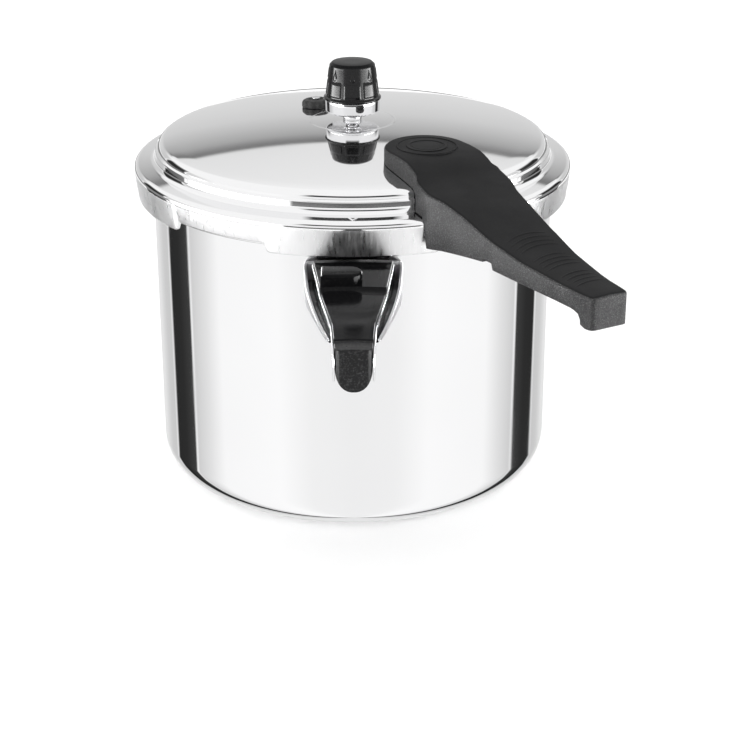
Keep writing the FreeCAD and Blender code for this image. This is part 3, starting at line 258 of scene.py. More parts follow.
def make_polish():
    """Polishing marks that run round the upright axis, with faint smears."""
    tree, start, end = group(
        "turned_polish",
        [("Line count", "NodeSocketFloat", 900.0), ("Smear size", "NodeSocketFloat", 14.0)],
        [("Height", "NodeSocketFloat"), ("Smear", "NodeSocketFloat")],
    )
    nodes, links = tree.nodes, tree.links
    place = nodes.new("ShaderNodeTexCoord").outputs["Object"]
    split = nodes.new("ShaderNodeSeparateXYZ")
    links.new(place, split.inputs[0])
    square_x = math_node(nodes, links, "MULTIPLY", split.outputs[0], split.outputs[0])
    square_y = math_node(nodes, links, "MULTIPLY", split.outputs[1], split.outputs[1])
    radius = math_node(nodes, links, "SQRT", math_node(nodes, links, "ADD", square_x, square_y))
    angle = math_node(nodes, links, "ARCTAN2", split.outputs[1], split.outputs[0])
    along = nodes.new("ShaderNodeCombineXYZ")
    count = start.outputs["Line count"]
    links.new(math_node(nodes, links, "MULTIPLY", radius, count), along.inputs[0])
    links.new(math_node(nodes, links, "MULTIPLY", split.outputs[2], count), along.inputs[1])
    links.new(math_node(nodes, links, "MULTIPLY", angle, 2.5), along.inputs[2])
    lines = nodes.new("ShaderNodeTexNoise")
    lines.inputs["Scale"].default_value = 1.0
    lines.inputs["Detail"].default_value = 2.0
    links.new(along.outputs[0], lines.inputs["Vector"])
    smear = nodes.new("ShaderNodeTexNoise")
    smear.inputs["Detail"].default_value = 3.0
    links.new(place, smear.inputs["Vector"])
    links.new(start.outputs["Smear size"], smear.inputs["Scale"])
    links.new(lines.outputs["Fac"], end.inputs["Height"])
    links.new(smear.outputs["Fac"], end.inputs["Smear"])
    return tree


GRAIN = make_speckle()
POLISH = make_polish()


def place_group(nodes, tree, **values):
    """Puts a shader group into a material; a name's underscores stand for spaces."""
    node = nodes.new("ShaderNodeGroup")
    node.node_tree = tree
    for socket, value in values.items():
        node.inputs[socket.replace("_", " ")].default_value = value
    return node


def bump(nodes, links, height, strength, distance, shader):
    """Bumps a shader's surface by a height."""
    node = nodes.new("ShaderNodeBump")
    node.inputs["Strength"].default_value = strength
    node.inputs["Distance"].default_value = distance
    links.new(height, node.inputs["Height"])
    links.new(node.outputs["Normal"], shader.inputs["Normal"])


def map_range(nodes, links, value, low, high, from_low, from_high):
    """Spreads from_low..from_high over low..high."""
    node = nodes.new("ShaderNodeMapRange")
    node.inputs["From Min"].default_value = from_low
    node.inputs["From Max"].default_value = from_high
    node.inputs["To Min"].default_value = low
    node.inputs["To Max"].default_value = high
    links.new(value, node.inputs["Value"])
    return node.outputs[0]


def mix_colour(nodes, links, factor, a, b):
    """Goes from one colour to the other; each is three values or a socket."""
    node = nodes.new("ShaderNodeMix")
    node.data_type = "RGBA"
    for number, colour in ((6, a), (7, b)):
        if isinstance(colour, tuple):
            node.inputs[number].default_value = (*colour, 1.0)
        else:
            links.new(colour, node.inputs[number])
    links.new(factor, node.inputs[0])
    return node.outputs[2]


def polished(name, colour, rough_low, rough_high, strength, count=900.0):
    """Polished metal turned about the upright axis."""
    material, nodes, links, shader = new_material(name, colour, 1.0, rough_low)
    marks = place_group(nodes, POLISH, Line_count=count)
    rough = map_range(nodes, links, marks.outputs["Smear"], rough_low, rough_high, 0.35, 0.7)
    links.new(rough, shader.inputs["Roughness"])
    darker = tuple(c * 0.965 for c in colour)
    links.new(mix_colour(nodes, links, marks.outputs["Smear"], colour, darker), shader.inputs["Base Color"])
    bump(nodes, links, marks.outputs["Height"], strength, 0.00002, shader)
    return material


def brushed(name, colour, rough_low, rough_high):
    """Metal left with the upright marks of the press."""
    material, nodes, links, shader = new_material(name, colour, 1.0, rough_low)
    place = nodes.new("ShaderNodeTexCoord").outputs["Object"]
    stretch = nodes.new("ShaderNodeMapping")
    stretch.inputs["Scale"].default_value = (900.0, 900.0, 25.0)
    links.new(place, stretch.inputs["Vector"])
    marks = nodes.new("ShaderNodeTexNoise")
    marks.inputs["Scale"].default_value = 1.0
    marks.inputs["Detail"].default_value = 3.0
    links.new(stretch.outputs[0], marks.inputs["Vector"])
    rough = map_range(nodes, links, marks.outputs["Fac"], rough_low, rough_high, 0.35, 0.65)
    links.new(rough, shader.inputs["Roughness"])
    darker = tuple(c * 0.9 for c in colour)
    links.new(mix_colour(nodes, links, marks.outputs["Fac"], colour, darker), shader.inputs["Base Color"])
    bump(nodes, links, marks.outputs["Fac"], 0.25, 0.00003, shader)
    return material


def moulded(name, colour, light, rough_low, rough_high, strength, grain=1800.0, speckle=1.0, shine=0.5):
    """Moulded black plastic with grain, lighter where the grain stands proud."""
    material, nodes, links, shader = new_material(name, colour, 0.0, rough_low, Specular_IOR_Level=shine)
    marks = place_group(nodes, GRAIN, Grain_size=grain)
    factor = math_node(nodes, links, "MULTIPLY", marks.outputs["Speckle"], speckle)
    links.new(mix_colour(nodes, links, factor, colour, light), shader.inputs["Base Color"])
    rough = map_range(nodes, links, marks.outputs["Blotch"], rough_low, rough_high, 0.3, 0.7)
    links.new(rough, shader.inputs["Roughness"])
    bump(nodes, links, marks.outputs["Height"], strength, 0.0002, shader)
    return material


POT_METAL = polished("pot_polish", (0.93, 0.93, 0.935), 0.035, 0.09, 0.05)
LID_METAL = polished("lid_polish", (0.93, 0.93, 0.935), 0.03, 0.08, 0.05)
GUARD_METAL = polished("guard_etched", (0.62, 0.62, 0.63), 0.26, 0.42, 0.5, 700.0)
SKIRT_METAL = brushed("skirt_brushed", (0.9, 0.9, 0.905), 0.27, 0.4)
RING_METAL = polished("weight_chrome", (0.86, 0.86, 0.87), 0.02, 0.05, 0.03, 2500.0)
SATIN_METAL = polished("satin_aluminium", (0.72, 0.72, 0.73), 0.22, 0.4, 0.3, 1500.0)
STEEL = polished("plain_steel", (0.6, 0.6, 0.61), 0.18, 0.34, 0.3, 3000.0)
BRASS = polished("insert_brass", (0.72, 0.53, 0.25), 0.22, 0.36, 0.3, 3000.0)
GRIP_TOP = moulded(
    "grip_top_black", (0.010, 0.010, 0.0105), (0.016, 0.016, 0.017),
    0.5, 0.62, 0.12, 2400.0, 1.0, 0.12,
)
GRIP_SIDE = moulded(
    "grip_side_grain", (0.016, 0.016, 0.0165), (0.12, 0.12, 0.122),
    0.42, 0.6, 0.7, 2000.0, 1.0, 0.34,
)
NOSE_BLACK = moulded(
    "nose_gloss_black", (0.005, 0.005, 0.0055), (0.01, 0.01, 0.01),
    0.06, 0.16, 0.05, 900.0, 1.0, 0.07,
)
NOSE_MATT = moulded(
    "nose_soft_black", (0.008, 0.008, 0.0085), (0.05, 0.05, 0.051),
    0.24, 0.42, 0.35, 1300.0, 1.0, 0.25,
)
EDGE_METAL = polished("edging_bright", (0.9, 0.9, 0.91), 0.08, 0.16, 0.08, 400.0)
CAP_BLACK = moulded(
    "cap_gloss_black", (0.006, 0.006, 0.0065), (0.012, 0.012, 0.012),
    0.1, 0.18, 0.05, 1200.0, 1.0, 0.28,
)
RUBBER = moulded("seal_rubber_black", (0.018, 0.018, 0.018), (0.05, 0.05, 0.05), 0.5, 0.7, 0.5, 1600.0)


# ---- pot ----------------------------------------------------------------------------------------
def make_pot():
    """The drawn shell with its bead and bayonet lugs."""
    bm = bmesh.new()
    spin(bm, [
        (0.0, 0.0), (POT_R - 22.0, 0.0), (POT_R, 0.0, 15.0), (POT_R, 151.3, 0.5), (101.5, 151.9, 0.6),
        (101.5, 154.5, 0.9), (98.0, 154.5, 0.8), (98.0, 3.0, 13.0), (70.0, 3.0), (0.0, 3.0),
    ], 360, closed=False)
    for number in range(LUGS):
        spin_part(bm, [
            (99.2, 147.05), (104.45, 147.05, 0.9), (104.45, 150.95, 0.9), (99.2, 150.95),
        ], FRONT + LUG_PITCH * (number + 0.5), 36.0, 24)
    finish_piece("pot_body_shell", bm, "pot", ["pot_shell"], [POT_METAL])


def lug_depth(x, y):
    """Height of the skirt's lower edge, lower at each lug, with rounded corners."""
    azimuth = math.degrees(math.atan2(y, x)) - FRONT
    off = abs((azimuth + LUG_PITCH / 2.0) % LUG_PITCH - LUG_PITCH / 2.0)
    inside = math.radians(LUG_HALF - off) * 107.5
    hollow, corner = 1.4, 3.0
    if inside <= -hollow:
        return SKIRT_LOW
    if inside <= 0.0:
        return SKIRT_LOW - hollow + math.sqrt(max(0.0, hollow**2 - (inside + hollow) ** 2))
    if inside < corner:
        return LUG_LOW + corner - math.sqrt(corner**2 - (corner - inside) ** 2)
    return LUG_LOW


def dome_height(radius, depth=0.0):
    """Height of the dome at a radius, or of the face that lies a depth below it."""
    return DOME_TOP - DOME_SPHERE + math.sqrt((DOME_SPHERE - depth) ** 2 - radius**2)


def make_lid():
    """The pressed lid with its step, flange, skirt, lugs and hooks, a ring and a V mark."""
    dome = [(r, dome_height(r)) for r in range(8, 92, 4)]
    under = [(r, dome_height(r, LID_WALL)) for r in range(92, 7, -4)]
    bm = bmesh.new()
    spin(bm, [
        (4.1, 179.98), *dome,
        (96.6, 171.7, 4.0),
        (97.1, 168.5, 0.5),
        (98.4, 167.7, 0.7),
        (98.4, 162.5, 3.2),
        (108.9, 161.4, 2.8),
        (109.1, 157.6, 6.0),
        (108.35, 153.3),
        (107.5, 149.0, 0.8),
        (105.5, 149.0, 0.8),
        (107.0, 157.6, 2.0),
        (106.9, 159.6, 1.0),
        (99.8, 159.6, 1.0),
        (96.4, 160.4, 1.0),
        (96.4, 165.6, 0.5),
        (95.0, 166.4, 0.5),
        (94.8, 169.9, 1.5),
        *under, (4.1, 177.99),
    ], 720)
    for vert in bm.verts:
        depth = SHOULDER_Z * MM - vert.co.z
        if depth > 0.0 and vert.co.xy.length > 0.1045:
            stretch = (SHOULDER_Z - lug_depth(vert.co.x, vert.co.y)) / (SHOULDER_Z - SKIRT_LOW)
            vert.co.z = SHOULDER_Z * MM - depth * stretch
    for number in range(LUGS):
        spin_part(bm, [
            (102.25, 144.55, 0.6), (106.5, 144.55), (106.5, 146.5), (102.25, 146.5, 0.6),
        ], FRONT + LUG_PITCH * number, 28.0, 28)
    spin(bm, [(20.0, 179.3), (20.5, 179.67, 0.2), (21.5, 179.65, 0.3), (22.2, 179.3)], 176)
    mark = [(-3.0, -102.0), (0.0, -106.2), (3.0, -102.0), (1.9, -102.0), (0.0, -104.7), (-1.9, -102.0)]
    verts = [bm.verts.new((x * MM, y * MM, 161.3 * MM)) for x, y in mark]
    pushed_out(bm, [bm.faces.new(verts)], 0.75 * MM)
    for face in bm.faces:
        middle = face.calc_center_median()
        if middle.z < SHOULDER_Z * MM and middle.xy.length > 0.1075:
            face.material_index = 1
    finish_piece("lid_pressing", bm, "lid", ["lid_shell"], [LID_METAL, SKIRT_METAL])


make_pot()
make_lid()


# ---- lid handle ---------------------------------------------------------------------------------
def lid_surface(radius):
    """Height of the lid's outside under the handle: dome, step and flange."""
    dome = [(r, dome_height(r)) for r in range(50, 91, 10)]
    return ramp(radius, dome + [
        (95.0, 171.9), (97.6, 171.6), (97.7, 169.0), (98.9, 168.4), (99.0, 163.4), (101.0, 162.4),
        (109.5, 161.9), (109.7, 148.5),
    ])


# Lines of the handle as (distance from the upright axis, height or half width).
GRIP_TOP_LINE = [
    (47.0, 183.8), (60.0, 184.0), (80.0, 184.0), (88.0, 183.2), (94.0, 180.9), (101.0, 177.3), (109.0, 174.9),
    (118.0, 173.1), (131.0, 170.2), (150.0, 164.9), (172.0, 160.5), (199.0, 158.1), (217.0, 157.8),
]
GRIP_UNDER_LINE = [
    (109.7, 148.5), (147.0, 152.9), (147.5, 154.0), (153.0, 154.0), (154.0, 151.1), (172.0, 150.3),
    (199.0, 149.4), (205.0, 149.2), (208.5, 148.2), (210.0, 146.0), (210.3, 143.0),
]
HEAD = 71.5
HEAD_R = 20.0
GRIP_HALF = [
    (HEAD, HEAD_R), (82.0, 20.2), (96.0, 20.6), (98.5, 22.2), (104.0, 22.6), (109.0, 22.6), (113.0, 21.6),
    (118.0, 19.9), (124.0, 19.0), (135.0, 17.8), (145.0, 17.1), (155.0, 16.3), (169.0, 14.5), (183.0, 12.7),
    (195.0, 11.3), (205.0, 10.3), (217.0, 9.5),
]
GRIP_ROUNDING = 1.5
GRIP_GAP = 0.35
GRIP_ROOF = 3.4
GRIP_DEEP = 50.0  # deeper than any level of the rounding, so that the lowest loop can be told from them


def grip_outline():
    """Half of the handle's plan, from the back of its head to its end."""
    points = []
    for degrees in range(0, 91, 5):
        turn = math.radians(degrees)
        points.append((HEAD - HEAD_R * math.cos(turn), HEAD_R * math.sin(turn)))
    for distance in (
        77, 82, 87, 92, 96, 98.5, 101, 105, 109, 113, 115, 118, 121, 126, 131, 136, 141, 146, 149, 152,
        155, 158, 162, 167, 173, 180, 188, 196, 204, 210,
    ):
        points.append((float(distance), ramp(distance, GRIP_HALF)))
    return points + [(214.2, 9.55), (215.6, 9.2), (216.6, 8.4), (217.0, 7.0)]


def drawn_in(loop, amount):
    """The closed loop moved inwards, each corner along the line that halves it."""
    moved = []
    for index, here in enumerate(loop):
        before, after = loop[index - 1], loop[(index + 1) % len(loop)]
        first = Vector((here[0] - before[0], here[1] - before[1], 0.0)).normalized()
        second = Vector((after[0] - here[0], after[1] - here[1], 0.0)).normalized()
        along = (first + second).normalized()
        reach = amount / max(along.dot(first), 0.6)
        moved.append((here[0] - along.y * reach, here[1] + along.x * reach))
    return moved


def make_lid_grip():
    """The handle: its plan stacked in loops with a rounded top edge, cut across, then shaped."""
    half = grip_outline()
    loop = [(w, -d) for d, w in half] + [(-w, -d) for d, w in reversed(half[1:])]
    turn = sum(p[0] * q[1] - q[0] * p[1] for p, q in zip(loop, loop[1:] + loop[:1]))
    if turn < 0:
        loop.reverse()
    bm = bmesh.new()
    levels = [(0.0, GRIP_DEEP), (0.0, GRIP_ROUNDING)]
    for step in range(1, 5):
        angle = math.radians(22.5 * step)
        levels.append((GRIP_ROUNDING * (1.0 - math.cos(angle)), GRIP_ROUNDING * (1.0 - math.sin(angle))))
    rings = [
        [bm.verts.new((x * MM, y * MM, -drop * MM)) for x, y in drawn_in(loop, inset)]
        for inset, drop in levels
    ]
    for lower, upper in zip(rings, rings[1:]):
        for index in range(len(loop)):
            after = (index + 1) % len(loop)
            bm.faces.new((lower[index], lower[after], upper[after], upper[index]))
    bm.faces.new(rings[-1])
    bm.faces.new(list(reversed(rings[0])))
    cut_up(bm, (
        54, 58, 62, 67, 72, 78, 84, 90, 93, 96, 97.6, 98.5, 101, 105, 109.6, 113, 118, 124, 131, 138,
        146.9, 147.6, 152.9, 154, 160, 166, 173, 180, 188, 196, 203, 206, 208.5, 210.2, 213,
    ), (-7.5, -5.0, -2.5, 0.0, 2.5, 5.0, 7.5))
    for vert in bm.verts:
        distance, side = -vert.co.y / MM, vert.co.x / MM
        radius = math.hypot(distance, side)
        drop = -vert.co.z / MM
        if drop < GRIP_DEEP / 2.0:
            wide = max(ramp(distance, GRIP_HALF), 8.0)
            crown = 0.5 * (side / wide) ** 2
            vert.co.z = (ramp(distance, GRIP_TOP_LINE) - crown - drop) * MM
        elif radius < GRIP_UNDER_LINE[0][0] - 0.05:
            vert.co.z = (lid_surface(radius) + GRIP_GAP) * MM
        else:
            vert.co.z = ramp(distance, GRIP_UNDER_LINE) * MM
    return bm


def hollow_grip(bm):
    """Presses the underside of the arm up to leave a wall all round."""
    for first, last in ((114.0, 146.0), (155.0, 205.0)):
        faces = [
            face for face in bm.faces
            if face.normal.z < -0.4 and first < -face.calc_center_median().y / MM < last
            and face.calc_center_median().z < 0.156
        ]
        bmesh.ops.inset_region(bm, faces=faces, thickness=2.6 * MM)
        bmesh.ops.inset_region(bm, faces=faces, thickness=0.2 * MM)
        for vert in {vert for face in faces for vert in face.verts}:
            vert.co.z = (ramp(-vert.co.y / MM, GRIP_TOP_LINE) - GRIP_ROOF) * MM


def make_grip_piece():
    """The hollow handle, smooth on top and grained down its sides."""
    bm = make_lid_grip()
    bmesh.ops.recalc_face_normals(bm, faces=bm.faces)
    hollow_grip(bm)
    for face in bm.faces:
        face.material_index = 0 if face.normal.z > 0.72 else 1
    at_azimuth(bm, bm.verts, LID_AZIMUTH)
    finishes = [GRIP_TOP, GRIP_SIDE]
    finish_piece("lid_handle_moulding", bm, "lid", ["lid_handle"], finishes, 38.0)


def make_ribs():
    """Three groups of shallow curved ribs across the handle's grip."""
    bm = bmesh.new()
    for first, half in ((152.5, 10.5), (171.5, 9.0), (190.5, 7.4)):
        for number in range(4):
            centre = first + 3.5 * number
            rows = []
            for step in range(17):
                t = step / 8.0 - 1.0
                side = half * t
                lift = 0.34 * (1.0 - abs(t) ** 4)
                row = []
                for across, share in ((-0.75, -0.6), (-0.45, 0.55), (0.0, 1.0), (0.45, 0.55), (0.75, -0.6)):
                    distance = centre + across + 0.022 * side * side - 0.12 * side
                    crown = 0.5 * (side / ramp(distance, GRIP_HALF)) ** 2
                    height = ramp(distance, GRIP_TOP_LINE) - crown + lift * share
                    row.append(bm.verts.new((side * MM, -distance * MM, height * MM)))
                rows.append(row)
            for a, b in zip(rows, rows[1:]):
                for k in range(4):
                    bm.faces.new((a[k], a[k + 1], b[k + 1], b[k]))
    at_azimuth(bm, bm.verts, LID_AZIMUTH)
    finish_piece("grip_ribs", bm, "lid", [], [GRIP_TOP], 60.0)


def make_head_disc():
    """The blank disc in the handle's head, with its raised rim and the ring moulded round it."""
    bm = bmesh.new()
    skin = spin(bm, [
        (0.0, 182.85), (9.75, 182.85), (9.75, 184.25, 0.3), (8.3, 184.28, 0.3), (7.9, 183.75, 0.2),
        (7.4, 183.75, 0.2), (7.0, 184.1, 0.2), (0.0, 184.1),
    ], 96, closed=False)
    bmesh.ops.translate(bm, vec=(0, -HEAD * MM, 0), verts=skin)
    at_azimuth(bm, skin, LID_AZIMUTH)
    finish_piece("handle_disc", bm, "lid", ["lid_handle_disc"], [GRIP_TOP], 40.0)
    bm = bmesh.new()
    skin = spin(bm, [(13.4, 183.3), (13.7, 184.15, 0.2), (14.3, 184.15, 0.2), (14.6, 183.3)], 128)
    bmesh.ops.translate(bm, vec=(0, -HEAD * MM, 0), verts=skin)
    at_azimuth(bm, skin, LID_AZIMUTH)
    finish_piece("head_ring", bm, "lid", [], [GRIP_TOP], 40.0)


make_grip_piece()
make_ribs()
make_head_disc()


# ---- pot handle ---------------------------------------------------------------------------------
POT_GRIP_HALF = [(97.0, 18.7), (138.0, 14.6), (178.0, 8.9), (205.0, 7.75)]
POT_GRIP_TOP = [
    (102.0, 142.0), (137.6, 142.0), (138.6, 141.0), (141.0, 140.2), (195.6, 140.9), (196.2, 140.4),
    (196.8, 139.9), (205.0, 139.9),
]
POT_GRIP_UNDER = [
    (102.0, 120.2), (140.0, 120.2), (153.0, 125.5), (175.0, 126.2), (190.0, 122.9), (200.0, 121.0),
    (205.0, 120.9),
]
GUARD_HALF = [
    (96.5, 22.6), (104.0, 22.6), (112.0, 22.15), (120.0, 21.5), (130.0, 20.5), (140.0, 19.2), (150.0, 17.7),
    (160.0, 16.0), (170.0, 14.1), (182.0, 11.4),
]
GUARD_TOP = [
    (96.5, 139.4), (102.0, 139.4), (105.0, 138.9), (110.0, 137.6), (116.0, 136.3), (123.0, 135.3),
    (182.0, 135.0),
]
GUARD_LOW = [(96.5, 125.1), (106.0, 125.1), (119.0, 126.1), (138.0, 130.0), (160.0, 132.9), (182.0, 134.0)]
FLANK_LOW = [(103.0, 125.6), (119.0, 126.6), (138.0, 130.4), (160.0, 131.6), (179.0, 132.4)]
FLANK_TOP = [(103.0, 132.5), (123.0, 132.5), (138.0, 132.8), (179.0, 133.4)]
EDGING_LOW = [(103.9, 133.2), (137.0, 133.6), (175.0, 132.6), (190.0, 128.0), (196.0, 126.0), (204.1, 125.4)]
EDGING_TOP = [(103.9, 140.4), (137.0, 140.4), (141.0, 139.3), (202.0, 138.6), (203.2, 137.4), (204.1, 134.0)]
BOSS_R = 6.0
BOSS_MIDDLE = 131.4


def make_pot_grip_body(bm):
    """The solid handle: platform, narrow bright grip and rounded nose."""
    loop = []
    for distance in (102.4, 110, 118, 126, 134, 138, 146, 154, 162, 170, 175, 178, 182, 188, 194, 200):
        loop.append((ramp(distance, POT_GRIP_HALF), float(distance)))
    loop += [(7.6, 203.2), (7.1, 204.3), (5.9, 204.9)]
    outline = loop + [(-x, d) for x, d in reversed(loop)]
    top = bm.faces.new([bm.verts.new((x * MM, -d * MM, 0.145)) for x, d in outline])
    pushed_out(bm, [top], -0.03)
    cut_up(bm, (
        106, 114, 122, 130, 137.6, 138.6, 141, 144, 150, 153, 158, 165, 172, 180, 185, 190, 195.6, 196.2,
        196.8, 198.5, 202, 203.5,
    ), (-6.9, -6.2, -5.2, -4.0, -2.5, -1.0, 1.0, 2.5, 4.0, 5.2, 6.2, 6.9))
    for vert in bm.verts:
        distance, side = -vert.co.y / MM, vert.co.x / MM
        wide = ramp(distance, POT_GRIP_HALF)
        if vert.co.z > 0.13:
            crown = 0.35 * (side / wide) ** 2
            vert.co.z = (ramp(distance, POT_GRIP_TOP) - crown) * MM
            continue
        bowl = 10.5 * ramp(distance, [(150.0, 0.1), (175.0, 0.55), (190.0, 1.0)])
        rise = bowl * (1.0 - math.sqrt(max(0.0, 1.0 - min(1.0, abs(side) / wide) ** 2.3)))
        vert.co.z = (ramp(distance, POT_GRIP_UNDER) + rise) * MM
    bmesh.ops.recalc_face_normals(bm, faces=bm.faces)
    round_edges(bm, sharp_edges(bm.edges), 0.9, 4)
    for face in bm.faces:
        middle = face.calc_center_median()
        if middle.y < -0.1962 or middle.y > -0.1052 or face.normal.z < 0.3:
            face.material_index = 1


def add_boss(bm):
    """The low boss on the platform, square at one end and round at the other."""
    boss = [(-14.3, BOSS_MIDDLE - BOSS_R), (-14.3, BOSS_MIDDLE + BOSS_R)]
    for degrees in range(0, 181, 12):
        turn = math.radians(degrees)
        boss.append((-1.9 + BOSS_R * math.sin(turn), BOSS_MIDDLE + BOSS_R * math.cos(turn)))
    base = bm.faces.new([bm.verts.new((x * MM, -d * MM, 0.1413)) for x, d in boss])
    raised = set(pushed_out(bm, [base], 6.1 * MM))
    crest = [edge for edge in bm.edges if edge.verts[0] in raised and edge.verts[1] in raised]
    round_edges(bm, crest, 1.3, 4)


def add_flanks(bm):
    """The dark webs that fill the guard on both sides of the grip."""
    flank = []
    for distance in (103.6, 110, 118, 126, 134, 142, 150, 158, 166, 174, 179):
        flank.append((ramp(distance, GUARD_HALF) - 1.75, float(distance)))
    outline = flank + [(-x, d) for x, d in reversed(flank)]
    verts = [bm.verts.new((x * MM, -d * MM, ramp(d, FLANK_LOW) * MM)) for x, d in outline]
    base = [
        bm.faces.new((verts[near], verts[near + 1], verts[-2 - near], verts[-1 - near]))
        for near in range(len(flank) - 1)
    ]
    bmesh.ops.recalc_face_normals(bm, faces=base)
    for vert in pushed_out(bm, base, 0.0):
        vert.co.z = ramp(-vert.co.y / MM, FLANK_TOP) * MM


def make_pot_grip():
    """The pot handle with its boss, and the webs inside the guard."""
    bm = bmesh.new()
    make_pot_grip_body(bm)
    add_boss(bm)
    add_flanks(bm)
    for face in bm.faces:
        middle = face.calc_center_median()
        if middle.z < 0.1346 and abs(middle.x) > 0.009:
            face.material_index = 1
    finish_piece(
        "pot_handle_moulding", bm, "pot", ["pot_handle"], [NOSE_BLACK, NOSE_MATT], 36.0,
    )


def sheet_strip(bm, side, rows, thick, edge_round):
    """A bent strip of sheet: rows of (distance, half width, lower, upper) with rounded edges."""
    columns = []
    for distance, half, low, high in rows:
        heights = (low, (low + high) / 2.0, high)
        columns.append([bm.verts.new((side * half * MM, -distance * MM, z * MM)) for z in heights])
    faces = []
    for a, b in zip(columns, columns[1:]):
        for k in (0, 1):
            faces.append(bm.faces.new((a[k], a[k + 1], b[k + 1], b[k])))
    bmesh.ops.recalc_face_normals(bm, faces=faces)
    toward = sum(face.normal.x for face in faces) * side
    if toward < 0.0:
        bmesh.ops.reverse_faces(bm, faces=faces)
    before = set(bm.verts) - {v for column in columns for v in column}
    bmesh.ops.solidify(bm, geom=faces, thickness=thick * MM)
    made = {v for v in bm.verts if v not in before}
    rim = [edge for edge in bm.edges if edge.verts[0] in made and edge.verts[1] in made]
    round_edges(bm, sharp_edges(rim), edge_round, 3)


def make_guard():
    """The bright cheeks, their floor and the plate that is riveted to the pot."""
    bm = bmesh.new()
    for side in (-1.0, 1.0):
        rows = [
            (distance, ramp(distance, GUARD_HALF), ramp(distance, GUARD_LOW), ramp(distance, GUARD_TOP))
            for distance in (
                98.2, 100, 102, 104, 106, 108, 110, 112, 114, 116, 118, 120.5, 123, 127, 132, 137, 142,
                148, 154, 160, 166, 172, 177, 180.5, 181.8,
            )
        ]
        sheet_strip(bm, side, rows, 1.4, 0.45)
    spin_part(bm, [
        (100.15, 118.6), (101.5, 118.6, 0.3), (101.5, 139.3, 0.5), (100.15, 139.3, 0.3),
    ], FRONT, 25.0, 20)
    floor = [(13.8, 100.4), (13.8, 129.0), (11.8, 130.9)]
    outline = floor + [(-x, d) for x, d in reversed(floor)]
    verts = [bm.verts.new((x * MM, -d * MM, 118.6 * MM)) for x, d in outline]
    face = bm.faces.new(verts)
    bmesh.ops.recalc_face_normals(bm, faces=[face])
    pushed_out(bm, [face], 1.35 * MM)
    finish_piece("guard_cheeks", bm, "pot", ["flame_guard"], [GUARD_METAL], 30.0)


def make_edging(number, side):
    """The bright strip along one side of the pot handle."""
    bm = bmesh.new()
    rows = []
    for distance in (
        103.9, 108, 114, 120, 126, 132, 137, 139, 142, 148, 154, 160, 166, 172, 178, 184, 190, 196, 200,
        203.2, 204.1,
    ):
        half = ramp(distance, POT_GRIP_HALF) + 0.85
        rows.append((distance, half, ramp(distance, EDGING_LOW), ramp(distance, EDGING_TOP)))
    sheet_strip(bm, side, rows, 0.8, 0.3)
    replaced = ["handle_strip_%d" % number]
    finish_piece("handle_edging_%d" % number, bm, "pot", replaced, [EDGE_METAL], 30.0)


make_pot_grip()
make_guard()
make_edging(1, -1.0)
make_edging(2, 1.0)


# ---- weight, vent and safety valve --------------------------------------------------------------
VALVE_OUT = 32.7
VALVE_AZIMUTH = 214.4


def make_cap():
    """The moulded cap: flat top, bevel, cone with soft panels and a drop-shaped mark over each."""
    bm = bmesh.new()
    cone = [(13.15 - 1.85 * k / 30.0, 192.6 + 14.6 * k / 30.0) for k in range(31)]
    skin = spin(bm, [
        (0.0, 208.95), (4.0, 208.95), (9.9, 208.95, 0.5), (11.25, 207.7, 0.7), *reversed(cone),
        (13.25, 192.1, 0.3), (14.25, 191.7, 0.6), (14.25, 190.55, 0.4), (10.1, 190.55), (10.1, 202.9),
        (0.0, 202.9),
    ], 320, closed=False)
    for vert in skin:
        radius, z = vert.co.xy.length / MM, vert.co.z / MM
        if radius < 10.6 or not 192.5 < z < 207.0:
            continue
        azimuth = math.degrees(math.atan2(vert.co.y, vert.co.x)) - FRONT
        off = abs((azimuth + 22.5) % 45.0 - 22.5)
        panel = ramp(off, [(17.0, 1.0), (18.6, 0.0)])
        panel *= ramp(z, [(192.9, 0.0), (193.5, 1.0), (199.6, 1.0), (200.4, 0.0)])
        drop_wide = ramp(z, [(201.0, 0.0), (202.0, 6.5), (203.6, 3.5), (206.0, 0.0)])
        drop = ramp(off, [(drop_wide * 0.6, 1.0), (drop_wide + 0.01, 0.0)]) if drop_wide > 0.0 else 0.0
        out = 1.0 + (0.22 * panel + 0.2 * drop) / radius
        vert.co.x *= out
        vert.co.y *= out
    for face in bm.faces:
        if face.calc_center_median().z > 0.2078:
            face.material_index = 1
    finishes = [CAP_BLACK, NOSE_BLACK]
    finish_piece("weight_cap_moulding", bm, "weight", ["weight_cap"], finishes, 50.0)


def make_weight_ring():
    """The turned weight; its polished lower part shows below the cap."""
    bm = bmesh.new()
    spin(bm, [
        (3.45, 184.1), (12.6, 184.1, 0.9), (13.6, 185.0, 0.6), (13.65, 190.45, 0.3), (9.95, 190.45),
        (9.95, 202.8), (0.0, 202.8),
    ], 160, closed=False)
    spin(bm, [(0.0, 198.1), (3.4, 198.1), (3.45, 187.5), (3.45, 184.1)], 64, closed=False)
    finish_piece("weight_core", bm, "weight", ["weight_body"], [RING_METAL], 30.0)


def make_vent():
    """The steam vent's collar, pipe and stem, bored through."""
    bm = bmesh.new()
    spin(bm, [
        (1.3, 171.4, 0.2), (3.85, 171.4, 0.5), (3.85, 179.95), (4.75, 180.0, 0.2), (4.75, 182.2, 1.6),
        (2.9, 182.9, 0.3), (2.88, 194.2, 0.7), (1.3, 194.2, 0.2),
    ], 96)
    finish_piece("vent_tube", bm, "lid", ["vent_pipe"], [RING_METAL], 30.0)


